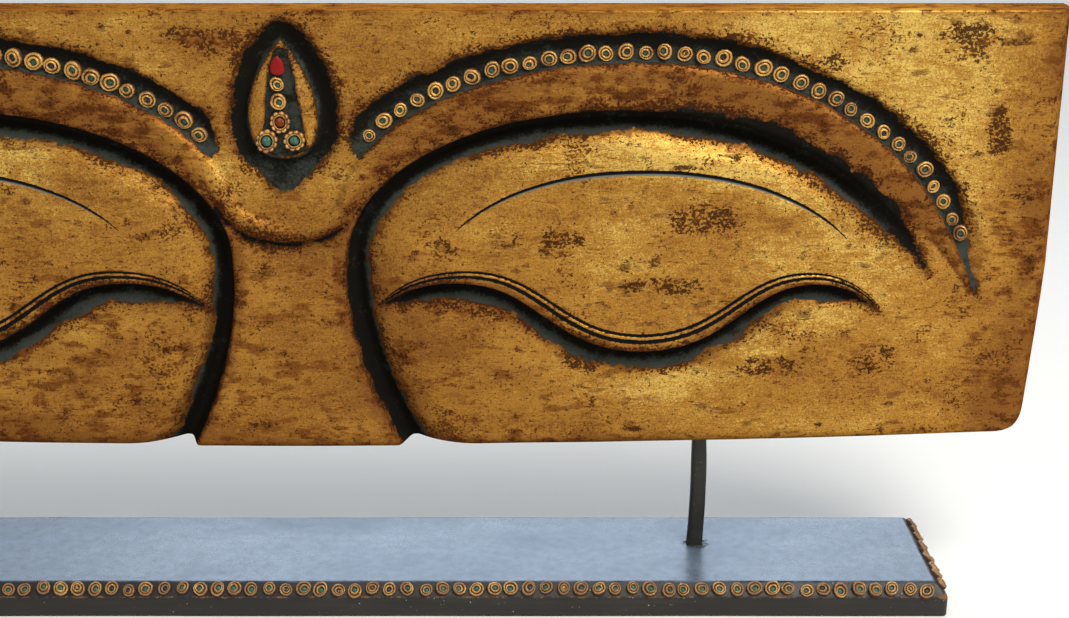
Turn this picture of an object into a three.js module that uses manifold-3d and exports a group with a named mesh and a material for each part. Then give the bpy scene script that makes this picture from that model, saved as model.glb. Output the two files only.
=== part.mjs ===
// A long carved and gilded wooden panel, a pair of lowered eyes under high brows,
// held over a low black base board by two slim posts.
// Millimetres, +Z up, the carved face looks along -Y, and the origin is on the floor
// under the middle of the base board.

import * as THREE from 'three';
import { mergeVertices } from 'three/addons/utils/BufferGeometryUtils.js';
import Module from 'manifold-3d';

const wasm = await Module();
wasm.setup();

// Driving dimensions

const LENGTH = 1016;
const HEIGHT = 299;
const THICKNESS = 40;
const BASE = { length: 886, depth: 118, height: 22.5, chamfer: 8 };
const PANEL_LIFT = 80.5;
const POST = {
    x: 276.8, y: 8, foot: 11.4, head: 9.8, softCorner: 0.28, bend: 1.6, lean: 1.3,
    intoBase: 14, intoPanel: 20,
};
const MORTISE_CLEARANCE = 0.3;
const SEAT_GAP = 0.3;

// The carver's grid: the length in 18 parts, of which each eye takes 6, and the height in 12

const COLUMN = LENGTH / 18;
const ROW = HEIGHT / 12;

const PANEL_BOTTOM = BASE.height + PANEL_LIFT;
const PANEL_BACK = POST.y + THICKNESS / 2;

// Levels are measured forward from the panel's flat back

const BOARD = {
    level: 36, endFall: 3, fallFrom: 330, cornerRadius: 26,
    endInset: 8, insetHeight: 130, insetCurve: 1.2, bottomRise: 8, riseAt: 455, riseCurve: 1.6,
};
const EDGE = { end: 12, endSteepness: 1.9, bottom: 6, top: 3.5 };
const EYE = { rise: 5, column: 4, columns: 3.1, flatness: 3.2, row: 5.6, rows: 3.4 };
const SOCKET = {
    depth: 13.5, extraAtNose: 5.5, noseReach: 150, fadeFrom: 0.78, floor: 1.5,
    wall: 3.4, wallAtNose: 8.4, noseWallFrom: 60, noseWallTo: 200, slope: 39, slopeCurve: 2.4,
};
const BROW = {
    halfAtBridge: 7, halfExtra: 11.5, archFrom: 0.06, archLength: 1.02, archCurve: 1.3,
    tipFrom: 0.8, tipTo: 1.03, tipNarrowing: 0.75, leanFrom: 0.05, leanTo: 0.3, crestShift: 0.45,
    bridgeRise: 4.2, archRise: 3.4, fadeFrom: 0.86,
};
const CHANNEL = {
    depth: 4.6, width: 14.5, wallFrom: -1.5, wallTo: 1, rimSlope: 6,
    from: 0.135, fullAt: 0.19, fadeFrom: 0.92,
};
const NOSE = { drop: 2, rise: 4.5, blend: 16, sideFrom: 2, sideTo: 12, columns: 1.8, rows: 6.5 };
const LASH = {
    lip: 13, lipRise: 1.8, cut: 10.5, wall: 1.8, floor: 1.5, slope: 32, slopeCurve: 2.1,
    endShare: 0.12,
};
const DROP = {
    rise: 1.2, shoulder: 9, roundness: 0.03, wallSlope: 3, hollow: 6.5, hollowFrom: 4, hollowTo: 17,
};
const INLAY = {
    depth: 1.6, top: 275, bottom: 206, halfAtTop: 3, halfAtBottom: 15, spread: 0.65, edge: 1.5, rim: 2,
};

// The lines of the carving, right half, as chained cubic curves in columns and rows

const SOCKET_LINE = [[1.5, -0.3], [1.12, 1.2], [0.76, 3.2], [0.76, 5.4],
    [0.76, 7.4], [2, 9.25], [3.95, 9.25], [5.7, 9.25], [6.95, 7.5], [7.62, 4.6]];
const BROW_LINE = [[0, 6.15], [0.42, 6.15], [0.62, 6.5], [0.78, 7.35],
    [1.1, 8.8], [2.2, 9.98], [3.95, 9.98], [5.9, 9.98], [7.35, 7.8], [8.05, 4.5]];
const LASH_LINE = [[1, 4], [1.25, 4.75], [1.6, 5.1], [2.1, 5.1], [3, 5.1], [3.2, 3.3], [4.15, 3.3],
    [5.1, 3.3], [5.3, 5.05], [6.1, 5.05], [6.5, 5.05], [6.8, 4.6], [7, 4]];

// The drop's right half, in millimetres from the middle and from the panel's bottom

const DROP_LINE = [[0, 281.5], [10, 272], [22.9, 252], [22.9, 230], [22.9, 212], [15, 202.8], [0, 202.8]];

// Ringlets coiled from paste: hexagons here, joined into rows by narrow necks

const RING = { radius: 5.6, thickness: 3.2, neck: 1.1, margin: 0.6 };
const BROW_RINGS = { count: 36, from: 0.165, to: 0.93, beyondRoll: 6.6 };
const BASE_RINGS = { front: 74, end: 9, endStart: 12, pitch: 11.75 };

// What is set in the drop's inlay bed, by place across and up the panel

const COLLARS = {
    brown: { x: -1.8, z: 227.4, radius: 6.9, hole: 3.9, height: 3.2 },
    green_left: { x: -11, z: 215.1, radius: 7.4, hole: 3.9, height: 3.4 },
    green_right: { x: 6.9, z: 215.4, radius: 6.9, hole: 3.6, height: 3.4 },
};
const COLLAR_STONE = { gap: 0.3, height: 0.93, shoulder: 0.6, shoulderHeight: 0.9, sides: 8 };
const RINGLETS = {
    upper: { x: -2.5, z: 252.3, radius: 4.9, height: 2.8 },
    lower: { x: -2.3, z: 241.2, radius: 5.7, height: 3 },
};
const RINGLET_RIM = 0.67;
const RED_STONE = { x: -1.9, z: 262.2, width: 9, height: 12.5, thickness: 2.4, flat: 0.7 };
const ROUND_SIDES = 10;

// The net of facets that the face is made of, over each half

const NET = {
    columns: 45, rows: 24, samples: 240, columnEvenness: 0.06, rowEvenness: 0.1,
    blur: 3, smoothing: 2, rimShare: 0.7, rim: 0.03,
};
const MERGE = 1e-4;

const GOLD = { color: 0xb98731, roughness: 0.45, metalness: 0.6 };
const BRONZE = { color: 0xa8813c, roughness: 0.5, metalness: 0.55 };
const BLACK = { color: 0x15181a, roughness: 0.35, metalness: 0 };
const GREEN = { color: 0x2f7a58, roughness: 0.25, metalness: 0 };
const RED = { color: 0x9e1b1e, roughness: 0.25, metalness: 0 };
const BROWN = { color: 0x6e3510, roughness: 0.3, metalness: 0 };

const clamp = THREE.MathUtils.clamp;
const ramp = (from, to, value) => THREE.MathUtils.smoothstep(value, from, to);

// A chain of cubic curves turned into short straight steps, with the length run so far

function carvedLine(points, scaleX = COLUMN, scaleZ = ROW, stepsPerCurve = 24) {
    const knots = points.map(([x, z]) => new THREE.Vector2(x * scaleX, z * scaleZ));
    const path = new THREE.CurvePath();
    for (let i = 0; i + 3 < knots.length; i += 3) {
        path.add(new THREE.CubicBezierCurve(...knots.slice(i, i + 4)));
    }
    const steps = path.getPoints(stepsPerCurve);
    const run = [0];
    for (let i = 1; i < steps.length; i++) {
        run.push(run[i - 1] + steps[i].distanceTo(steps[i - 1]));
    }
    return { steps, run, length: run[run.length - 1] };
}

// The nearest place on a line: its distance, positive to the left of travel, and the share run

function nearest(line, x, z) {
    let best = Infinity;
    let side = 1;
    let run = 0;
    for (let i = 1; i < line.steps.length; i++) {
        const start = line.steps[i - 1];
        const stepX = line.steps[i].x - start.x;
        const stepZ = line.steps[i].y - start.y;
        const dot = (x - start.x) * stepX + (z - start.y) * stepZ;
        const share = clamp(dot / (stepX * stepX + stepZ * stepZ), 0, 1);
        const offX = x - start.x - share * stepX;
        const offZ = z - start.y - share * stepZ;
        const squared = offX * offX + offZ * offZ;
        if (squared < best) {
            best = squared;
            side = stepX * offZ - stepZ * offX >= 0 ? 1 : -1;
            run = line.run[i - 1] + share * (line.run[i] - line.run[i - 1]);
        }
    }
    return { distance: side * Math.sqrt(best), run, share: run / line.length };
}

const socketLine = carvedLine(SOCKET_LINE);
const browLine = carvedLine(BROW_LINE);
const lashLine = carvedLine(LASH_LINE);
const dropLine = carvedLine(DROP_LINE, 1, 1);

// Half the width of the brow's roll: slim at the bridge, broad over the eye, a point at its end

function browHalfWidth(share) {
    const along = clamp((share - BROW.archFrom) / BROW.archLength, 0, 1);
    const arch = Math.sin(Math.PI * along) ** BROW.archCurve;
    const tip = BROW.tipNarrowing * ramp(BROW.tipFrom, BROW.tipTo, share);
    return (BROW.halfAtBridge + BROW.halfExtra * arch) * (1 - tip);
}

// The plain board, falling back a little towards its ends, with the soft swell of the eye

function boardLevel(x, z) {
    const along = Math.abs((x / COLUMN - EYE.column) / EYE.columns) ** EYE.flatness;
    const up = ((z / ROW - EYE.row) / EYE.rows) ** 2;
    const fall = BOARD.endFall * ramp(BOARD.fallFrom, LENGTH / 2, x);
    return BOARD.level - fall + EYE.rise * Math.exp(-along - up);
}

// The brow is a rounded roll; over the eye its crest leans to the upper edge and its face slopes in

function browRise(brow) {
    const half = browHalfWidth(brow.share);
    const across = brow.distance / half;
    if (Math.abs(across) >= 1) return 0;
    const lean = ramp(BROW.leanFrom, BROW.leanTo, brow.share);
    const crest = BROW.crestShift * lean;
    const rise = THREE.MathUtils.lerp(BROW.bridgeRise, BROW.archRise, lean);
    const below = (crest - across) / (1 + crest);
    const profile = across > crest ? 1 - ((across - crest) / (1 - crest)) ** 2 : 1 - below ** 2;
    return rise * profile * (1 - ramp(BROW.fadeFrom, 1, brow.share));
}

// The nose is a raised flat between the two socket cuts; it starts low under the bridge

function noseRise(x, z, brow, socket) {
    const under = -brow.distance - browHalfWidth(brow.share);
    const beyond = x > NOSE.columns * COLUMN || z > NOSE.rows * ROW;
    if (socket.distance < 0 || under < 0 || beyond) return 0;
    const sides = ramp(NOSE.sideFrom, NOSE.sideTo, socket.distance);
    return sides * (NOSE.rise * ramp(0, NOSE.blend, under) - NOSE.drop);
}

// The deep cut round the eye: a steep wall on the brow's side, a long rounded slope to the lid

function socketCut(socket) {
    const fade = 1 - ramp(SOCKET.fadeFrom, 1, socket.share);
    const nose = 1 - ramp(0, SOCKET.noseReach, socket.run);
    const depth = (SOCKET.depth + SOCKET.extraAtNose * nose) * fade;
    const beyondFloor = Math.abs(socket.distance) - SOCKET.floor;
    if (socket.distance < 0) {
        const slope = SOCKET.slope * Math.sqrt(fade) + 1;
        return depth * (1 - clamp(beyondFloor / slope, 0, 1)) ** SOCKET.slopeCurve;
    }
    const nearNose = 1 - ramp(SOCKET.noseWallFrom, SOCKET.noseWallTo, socket.run);
    const wall = THREE.MathUtils.lerp(SOCKET.wall, SOCKET.wallAtNose, nearNose);
    return depth * (1 - ramp(0, wall, beyondFloor));
}

// The shallow flat channel along the brow's upper edge, where the ringlets sit

function channelCut(brow) {
    if (brow.distance <= 0) return 0;
    const start = ramp(CHANNEL.from, CHANNEL.fullAt, brow.share);
    const open = start * (1 - ramp(CHANNEL.fadeFrom, 1, brow.share));
    const beyondRoll = brow.distance - browHalfWidth(brow.share);
    const nearWall = ramp(CHANNEL.wallFrom, CHANNEL.wallTo, beyondRoll);
    const farWall = 1 - ramp(0, CHANNEL.rimSlope, beyondRoll - CHANNEL.width * Math.sqrt(open));
    return CHANNEL.depth * open * nearWall * farWall;
}

// The lash line: a rounded lip along the lid's edge, undercut, with a long slope to the cheek

function lashRelief(lash) {
    if (lash.distance >= 0) return 0;
    const ends = ramp(0, LASH.endShare, lash.share) * ramp(0, LASH.endShare, 1 - lash.share);
    const lip = LASH.lip * Math.sqrt(clamp(Math.sin(Math.PI * lash.share), 0, 1));
    const under = -lash.distance - lip;
    if (under > 0) {
        const slope = clamp((under - LASH.floor) / LASH.slope, 0, 1);
        return -LASH.cut * ends * (1 - slope) ** LASH.slopeCurve;
    }
    const across = -2 * lash.distance / lip - 1;
    const roundness = Math.sqrt(clamp(1 - across * across, 0, 1));
    return ends * (LASH.lipRise * roundness - LASH.cut * (1 - ramp(0, LASH.wall, -under)));
}

// The drop on the forehead stands in a hollow cut round it and has a flat inlay bed down its middle

function dropRelief(x, z, level) {
    const drop = nearest(dropLine, x, z).distance;
    if (drop >= 0) {
        const hollowed = level - DROP.hollow * (1 - ramp(DROP.hollowFrom, DROP.hollowTo, drop));
        return Math.max(hollowed, level - DROP.rise - drop * DROP.wallSlope);
    }
    const shoulder = clamp(DROP.shoulder + drop, 0, DROP.shoulder);
    const down = clamp((INLAY.top - z) / (INLAY.top - INLAY.bottom), 0, 1);
    const half = THREE.MathUtils.lerp(INLAY.halfAtTop, INLAY.halfAtBottom, down ** INLAY.spread);
    const inside = Math.min(half - x, -drop - INLAY.rim, INLAY.top - z);
    const bed = INLAY.depth * ramp(0, INLAY.edge, inside);
    return level + DROP.rise - DROP.roundness * shoulder * shoulder - bed;
}

// How far a rounded edge falls back at a given distance from that edge

function roundedEdge(radius, distance) {
    const inward = clamp(distance, 0, radius);
    return radius - Math.sqrt(radius * radius - (radius - inward) ** 2);
}

// The outline: the ends draw in towards the bottom, and the bottom edge rises towards the ends

function halfLengthAt(z) {
    return LENGTH / 2 - BOARD.endInset * clamp(1 - z / BOARD.insetHeight, 0, 1) ** BOARD.insetCurve;
}

const bottomAt = (x) => BOARD.bottomRise * (x / BOARD.riseAt) ** BOARD.riseCurve;

// The whole carved face

function relief(x, z) {
    const socket = nearest(socketLine, x, z);
    const brow = nearest(browLine, x, z);
    const lash = nearest(lashLine, x, z);
    let level = boardLevel(x, z) + browRise(brow) + noseRise(x, z, brow, socket);
    level += lashRelief(lash) - socketCut(socket) - channelCut(brow);
    level = dropRelief(x, z, level);
    level -= EDGE.endSteepness * roundedEdge(EDGE.end, halfLengthAt(z) - x);
    level -= roundedEdge(EDGE.bottom, z - bottomAt(x)) + roundedEdge(EDGE.top, HEIGHT - z);
    return level;
}

// A place on the right half of the face, from two shares: u from the middle to the end,
// v from the bottom edge, which is rounded up at the corner, to the top

function facePoint(u, v) {
    const fromEnd = (1 - u) * LENGTH / 2;
    const lowest = bottomAt(u * LENGTH / 2) + roundedEdge(BOARD.cornerRadius, fromEnd);
    const z = THREE.MathUtils.lerp(lowest, HEIGHT, v);
    const x = u * halfLengthAt(z);
    return new THREE.Vector3(x, PANEL_BACK - relief(x, z), PANEL_BOTTOM + z);
}

// Places from 0 to 1 that part a row of weights into equal loads

function equalLoads(weights, count) {
    const run = [0];
    for (const weight of weights) run.push(run[run.length - 1] + weight);
    return Array.from({ length: count + 1 }, (_, i) => {
        const goal = run[weights.length] * (i / count);
        const after = clamp(run.findIndex((load) => load >= goal), 1, weights.length);
        return (after - 1 + (goal - run[after - 1]) / weights[after - 1]) / weights.length;
    });
}

const blurred = (values, times) => {
    let result = values;
    for (let pass = 0; pass < times; pass++) {
        result = result.map((value, i) => {
            const before = result[Math.max(i - 1, 0)];
            const after = result[Math.min(i + 1, result.length - 1)];
            return (before + 2 * value + after) / 4;
        });
    }
    return result;
};

// A net of places over the right half of the face; its columns and rows crowd where the
// carving bends most, so that few facets follow the cuts. The rounded rims don't draw rows

function faceNet() {
    const shares = Array.from({ length: NET.samples + 1 }, (_, i) => i / NET.samples);
    const depths = shares.map((u) => shares.map((v) => facePoint(u, v).y));
    const bend = (before, here, after) => Math.sqrt(Math.abs(before - 2 * here + after));
    const inner = shares.slice(1, -1).map((_, i) => i + 1);
    const acrossColumns = inner.map((i) => {
        const bends = inner.map((j) => bend(depths[i - 1][j], depths[i][j], depths[i + 1][j]) ** 2);
        return NET.columnEvenness + Math.sqrt(bends.reduce((sum, value) => sum + value, 0) / bends.length);
    });
    const alongColumns = inner.map((i) => inner.map((j) => {
        const inRim = Math.min(shares[j], 1 - shares[j]) < NET.rim;
        const bends = inRim ? 0 : bend(depths[i][j - 1], depths[i][j], depths[i][j + 1]);
        return NET.rowEvenness + bends;
    }));
    const columns = equalLoads(blurred(acrossColumns, NET.blur), NET.columns);
    let rows = columns.map((u) => {
        const nearestSample = clamp(Math.round(u * NET.samples) - 1, 0, inner.length - 1);
        return equalLoads(blurred(alongColumns[nearestSample], NET.blur), NET.rows - 2);
    });
    for (let pass = 0; pass < NET.smoothing; pass++) {
        const before = rows;
        rows = before.map((row, i) => row.map((share, j) => {
            const previous = before[Math.max(i - 1, 0)][j];
            const next = before[Math.min(i + 1, before.length - 1)][j];
            return (previous + 2 * share + next) / 4;
        }));
    }
    const bottomRow = NET.rimShare * EDGE.bottom / HEIGHT;
    const topRow = 1 - NET.rimShare * EDGE.top / HEIGHT;
    return columns.map((u, i) => {
        const between = rows[i].map((share) => THREE.MathUtils.lerp(bottomRow, topRow, share));
        return [0, ...between, 1].map((v) => ({ u, v, point: facePoint(u, v) }));
    });
}

// Two facets for each cell of the net, parted along the diagonal that lies closer to the wood

function netFacets(net) {
    const facets = [];
    const missBy = (wood, from, to) => from.point.clone().lerp(to.point, 0.5).distanceTo(wood);
    for (let i = 0; i < NET.columns; i++) {
        for (let j = 0; j < NET.rows; j++) {
            const cell = [net[i][j], net[i + 1][j], net[i + 1][j + 1], net[i][j + 1]];
            const mean = (key) => cell.reduce((sum, place) => sum + place[key], 0) / 4;
            const wood = facePoint(mean('u'), mean('v'));
            const [a, b, c, d] = cell.map((place) => place.point);
            if (missBy(wood, cell[0], cell[2]) <= missBy(wood, cell[1], cell[3])) {
                facets.push([a, b, c], [a, c, d]);
            } else {
                facets.push([a, b, d], [b, c, d]);
            }
        }
    }
    return facets;
}

// Closed bodies

function geometryOf(triangles) {
    const positions = triangles.flat().flatMap((point) => point.toArray());
    const geometry = new THREE.BufferGeometry();
    geometry.setAttribute('position', new THREE.Float32BufferAttribute(positions, 3));
    return mergeVertices(geometry, MERGE);
}

function solidOf(geometry) {
    return new wasm.Manifold(new wasm.Mesh({
        numProp: 3,
        vertProperties: new Float32Array(geometry.attributes.position.array),
        triVerts: new Uint32Array(geometry.index.array),
    }));
}

function geometryOfSolid(solid) {
    const mesh = solid.getMesh();
    const geometry = new THREE.BufferGeometry();
    geometry.setAttribute('position', new THREE.BufferAttribute(new Float32Array(mesh.vertProperties), 3));
    geometry.setIndex(new THREE.BufferAttribute(new Uint32Array(mesh.triVerts), 1));
    return geometry;
}

// Rings of points, all with as many points and listed the same way round, skinned and capped

function skin(rings) {
    const triangles = [];
    for (let i = 1; i < rings.length; i++) {
        rings[i].forEach((point, j) => {
            const next = (j + 1) % rings[i].length;
            triangles.push([rings[i - 1][j], rings[i - 1][next], rings[i][next]]);
            triangles.push([rings[i - 1][j], rings[i][next], point]);
        });
    }
    const first = rings[0];
    const last = rings[rings.length - 1];
    for (let j = 1; j + 1 < first.length; j++) {
        triangles.push([first[0], first[j + 1], first[j]]);
        triangles.push([last[0], last[j], last[j + 1]]);
    }
    return triangles;
}

// The panel: carved face, its mirror image, flat back and the edges between them

function panelGeometry(net, facets) {
    const mirrored = (point) => new THREE.Vector3(-point.x, point.y, point.z);
    const body = facets.flatMap(([a, b, c]) => [[a, b, c], [mirrored(a), mirrored(c), mirrored(b)]]);
    const right = [
        ...net.map((column) => column[0]),
        ...net[NET.columns].slice(1),
        ...net.slice(0, -1).reverse().map((column) => column[NET.rows]),
    ].map((place) => place.point);
    const left = right.slice(1, -1).reverse().map(mirrored);
    const front = [...right, ...left];
    const back = front.map((point) => new THREE.Vector3(point.x, PANEL_BACK, point.z));
    const backMiddle = new THREE.Vector3(0, PANEL_BACK, PANEL_BOTTOM + HEIGHT / 2);
    front.forEach((point, i) => {
        const next = (i + 1) % front.length;
        body.push([point, back[i], front[next]]);
        body.push([front[next], back[i], back[next]]);
        body.push([back[i], backMiddle, back[next]]);
    });
    return geometryOf(body);
}

// A post is a slim bar with softened corners, a little thinner upwards and not quite straight

function postRing(width, x, z) {
    const half = width / 2;
    const soft = width * POST.softCorner;
    const outline = [[half, half - soft], [half - soft, half]];
    const ring = [];
    for (let quarter = 0; quarter < 4; quarter++) {
        const angle = quarter * Math.PI / 2;
        for (const [across, forward] of outline) {
            const spot = new THREE.Vector2(across, forward).rotateAround(new THREE.Vector2(), angle);
            ring.push(new THREE.Vector3(x + spot.x, spot.y, z));
        }
    }
    return ring;
}

function postGeometry(sign, clearance = 0) {
    const bottom = BASE.height - POST.intoBase - clearance;
    const top = PANEL_BOTTOM + POST.intoPanel + clearance;
    const steps = 6;
    return geometryOf(skin(Array.from({ length: steps + 1 }, (_, i) => {
        const share = i / steps;
        const width = THREE.MathUtils.lerp(POST.foot, POST.head, share) + 2 * clearance;
        const bend = sign * (POST.bend * Math.sin(Math.PI * share) - POST.lean * (1 - share));
        return postRing(width, bend, THREE.MathUtils.lerp(bottom, top, share));
    })));
}

// The base board: vertical edges below, chamfered all round its upper edge

function baseGeometry() {
    const ring = (inset, z) => {
        const x = BASE.length / 2 - inset;
        const y = BASE.depth / 2 - inset;
        return [[x, -y], [x, y], [-x, y], [-x, -y]].map(([px, py]) => new THREE.Vector3(px, py, z));
    };
    return geometryOf(skin([
        ring(0, 0),
        ring(0, BASE.height - BASE.chamfer),
        ring(BASE.chamfer, BASE.height),
    ]));
}

// A row of flat ringlets joined by narrow necks, on seats that each have a centre,
// the direction of the row, the direction across it and the direction they face

function ringRow(seats) {
    const reach = RING.radius * Math.cos(Math.PI / 6);
    const half = RING.radius / 2;
    const spot = (seat, along, across, up) => seat.centre.clone()
        .addScaledVector(seat.along, along)
        .addScaledVector(seat.across, across)
        .addScaledVector(seat.facing, up);
    const rungs = [];
    const rung = (seat, along, halfWidth) => rungs.push([
        spot(seat, along, -halfWidth, 0),
        spot(seat, along, halfWidth, 0),
        spot(seat, along, halfWidth, RING.thickness),
        spot(seat, along, -halfWidth, RING.thickness),
    ]);
    seats.forEach((seat, i) => {
        if (i === 0) rung(seat, -RING.radius, RING.neck);
        rung(seat, -half, reach);
        rung(seat, half, reach);
        if (i === seats.length - 1) {
            rung(seat, RING.radius, RING.neck);
            return;
        }
        const next = seats[i + 1];
        rungs.push([0, 1, 2, 3].map((corner) => {
            const across = corner === 0 || corner === 3 ? -RING.neck : RING.neck;
            const up = corner < 2 ? 0 : RING.thickness;
            return spot(seat, 0, across, up).lerp(spot(next, 0, across, up), 0.5);
        }));
    });
    return geometryOf(skin(rungs));
}

// The most forward wood within a radius of a place, read from the finished facets of the face

function mostForward(facets, x, z, radius) {
    const weights = new THREE.Vector3();
    const directions = 12;
    let forward = Infinity;
    for (const reach of [0, radius / 2, radius]) {
        for (let step = 0; step < directions; step++) {
            const angle = step * 2 * Math.PI / directions;
            const spot = new THREE.Vector3(x + reach * Math.cos(angle), 0, z + reach * Math.sin(angle));
            for (const { flat, depths } of facets) {
                if (!flat.containsPoint(spot)) continue;
                flat.getBarycoord(spot, weights);
                forward = Math.min(forward, weights.dot(depths));
            }
        }
    }
    return forward;
}

// Seats along the brow's channel, each just clear of the most forward wood under its ringlet

function browSeats(flatFacets) {
    const { count, from, to, beyondRoll } = BROW_RINGS;
    const facing = new THREE.Vector3(0, -1, 0);
    return Array.from({ length: count }, (_, i) => {
        const share = from + (to - from) * i / (count - 1);
        const after = browLine.run.findIndex((run) => run >= share * browLine.length);
        const start = browLine.steps[after - 1];
        const end = browLine.steps[after];
        const part = (share * browLine.length - browLine.run[after - 1]) / start.distanceTo(end);
        const along = end.clone().sub(start).normalize();
        const across = new THREE.Vector2(-along.y, along.x);
        const spot = start.clone().lerp(end, part);
        spot.addScaledVector(across, browHalfWidth(share) + beyondRoll);
        const z = PANEL_BOTTOM + spot.y;
        const y = mostForward(flatFacets, spot.x, z, RING.radius + RING.margin) - SEAT_GAP;
        return {
            centre: new THREE.Vector3(spot.x, y, z),
            along: new THREE.Vector3(along.x, 0, along.y),
            across: new THREE.Vector3(across.x, 0, across.y),
            facing,
        };
    });
}

// The same seats on the other half, listed from the outer end so that the body stays right side out

function mirroredSeats(seats) {
    return seats.map(({ centre, along, across, facing }) => ({
        centre: new THREE.Vector3(-centre.x, centre.y, centre.z),
        along: new THREE.Vector3(along.x, 0, -along.z),
        across: new THREE.Vector3(-across.x, 0, across.z),
        facing,
    })).reverse();
}

// Seats along a chamfer of the base, a little proud of its middle line

function chamferSeats(count, along, outward, distance, start) {
    const facing = outward.clone().add(new THREE.Vector3(0, 0, 1)).normalize();
    const across = facing.clone().cross(along);
    const middle = outward.clone().multiplyScalar(distance - BASE.chamfer / 2);
    middle.z = BASE.height - BASE.chamfer / 2;
    middle.addScaledVector(facing, SEAT_GAP);
    return Array.from({ length: count }, (_, i) => ({
        centre: middle.clone().addScaledVector(along, start + i * BASE_RINGS.pitch),
        along,
        across,
        facing,
    }));
}

function baseRingRows() {
    const axis = (x, y) => new THREE.Vector3(x, y, 0);
    const { front, end, endStart, pitch } = BASE_RINGS;
    const halfRow = (front - 1) * pitch / 2;
    const nearEnd = -BASE.depth / 2 + endStart;
    const farEnd = nearEnd + (end - 1) * pitch;
    return {
        base_rings_front: chamferSeats(front, axis(1, 0), axis(0, -1), BASE.depth / 2, -halfRow),
        base_rings_right: chamferSeats(end, axis(0, 1), axis(1, 0), BASE.length / 2, nearEnd),
        base_rings_left: chamferSeats(end, axis(0, -1), axis(-1, 0), BASE.length / 2, -farEnd),
    };
}

// The ornaments of the drop, turned round their own axis from a half section

function turned(profile, sides) {
    const section = profile.map(([radius, height]) => new THREE.Vector2(radius, height));
    const geometry = new THREE.LatheGeometry(section, sides);
    geometry.deleteAttribute('normal');
    geometry.deleteAttribute('uv');
    return mergeVertices(geometry, MERGE);
}

function collarGeometry({ radius, hole, height }) {
    const crest = (radius + hole) / 2;
    const low = height / 2;
    const closed = [[hole, 0], [radius, 0], [radius, low], [crest, height], [hole, low], [hole, 0]];
    return turned(closed, ROUND_SIDES);
}

function ringletGeometry({ radius, height }) {
    const low = height / 2;
    const rim = radius * RINGLET_RIM;
    return turned([[0, 0], [radius, 0], [radius, low], [rim, height], [0, low]], ROUND_SIDES);
}

function collarStoneGeometry({ hole, height }) {
    const radius = hole - COLLAR_STONE.gap;
    const top = height * COLLAR_STONE.height;
    const shoulder = [radius * COLLAR_STONE.shoulder, top * COLLAR_STONE.shoulderHeight];
    return turned([[0, 0], [radius, 0], [radius, top / 2], shoulder, [0, top]], COLLAR_STONE.sides);
}

function redStoneGeometry({ width, height, thickness, flat }) {
    const corners = [[-width / 2, height / 3], [width / 2, height / 3], [0, -height * 2 / 3]];
    const ring = (scale, y) => corners.map(([x, z]) => new THREE.Vector3(x * scale, y, z * scale));
    return geometryOf(skin([ring(1, 0), ring(1, thickness / 2), ring(flat, thickness)]));
}

// Assembly

const object = new THREE.Group();

function addPiece(name, geometry, finish) {
    geometry.computeVertexNormals();
    const mesh = new THREE.Mesh(geometry, new THREE.MeshStandardMaterial(finish));
    mesh.name = name;
    object.add(mesh);
    return mesh;
}

const net = faceNet();
const facets = netFacets(net);
let panel = solidOf(panelGeometry(net, facets));
let base = solidOf(baseGeometry());

for (const [side, sign] of Object.entries({ left: -1, right: 1 })) {
    const post = addPiece(`post_${side}`, postGeometry(sign), BLACK);
    post.position.set(sign * POST.x, POST.y, 0);
    const mortise = postGeometry(sign, MORTISE_CLEARANCE).translate(sign * POST.x, POST.y, 0);
    panel = panel.subtract(solidOf(mortise));
    base = base.subtract(solidOf(mortise));
}

addPiece('panel', geometryOfSolid(panel), GOLD);
addPiece('base', geometryOfSolid(base), BLACK);

const flatFacets = facets.map((facet) => {
    const corners = facet.map((point) => new THREE.Vector3(point.x, 0, point.z));
    const depths = new THREE.Vector3(...facet.map((point) => point.y));
    return { flat: new THREE.Triangle(...corners), depths };
});

const seats = browSeats(flatFacets);
addPiece('brow_rings_right', ringRow(seats), BRONZE);
addPiece('brow_rings_left', ringRow(mirroredSeats(seats)), BRONZE);
for (const [name, row] of Object.entries(baseRingRows())) {
    addPiece(name, ringRow(row), BRONZE);
}

// A piece of the drop lies on its bed, turned to face forward

function setInDrop(name, geometry, finish, { x, z }) {
    geometry.computeBoundingSphere();
    const place = PANEL_BOTTOM + z;
    const forward = mostForward(flatFacets, Math.abs(x), place, geometry.boundingSphere.radius);
    const piece = addPiece(name, geometry, finish);
    piece.rotation.x = Math.PI;
    piece.position.set(x, forward - SEAT_GAP, place);
    return piece;
}

setInDrop('drop_red_stone', redStoneGeometry(RED_STONE), RED, RED_STONE);
for (const [name, ringlet] of Object.entries(RINGLETS)) {
    setInDrop(`drop_ringlet_${name}`, ringletGeometry(ringlet), BRONZE, ringlet);
}
for (const [name, collar] of Object.entries(COLLARS)) {
    const glass = name === 'brown' ? BROWN : GREEN;
    const seated = setInDrop(`drop_collar_${name}`, collarGeometry(collar), BRONZE, collar);
    const stone = setInDrop(`drop_stone_${name}`, collarStoneGeometry(collar), glass, collar);
    stone.position.y = seated.position.y;
}

export default object;
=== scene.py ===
# %% [markdown]
# # A carved and gilded panel on a black stand
#
# The object is a wooden board about a metre long, carved as a pair of lowered eyes under high
# brows, painted gold over a dark undercoat and held over a low black base by two slim posts.
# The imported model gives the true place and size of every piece. This lesson gives each piece
# its surface: fine carving worked out with numpy, and paint mixed from shader nodes.

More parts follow.
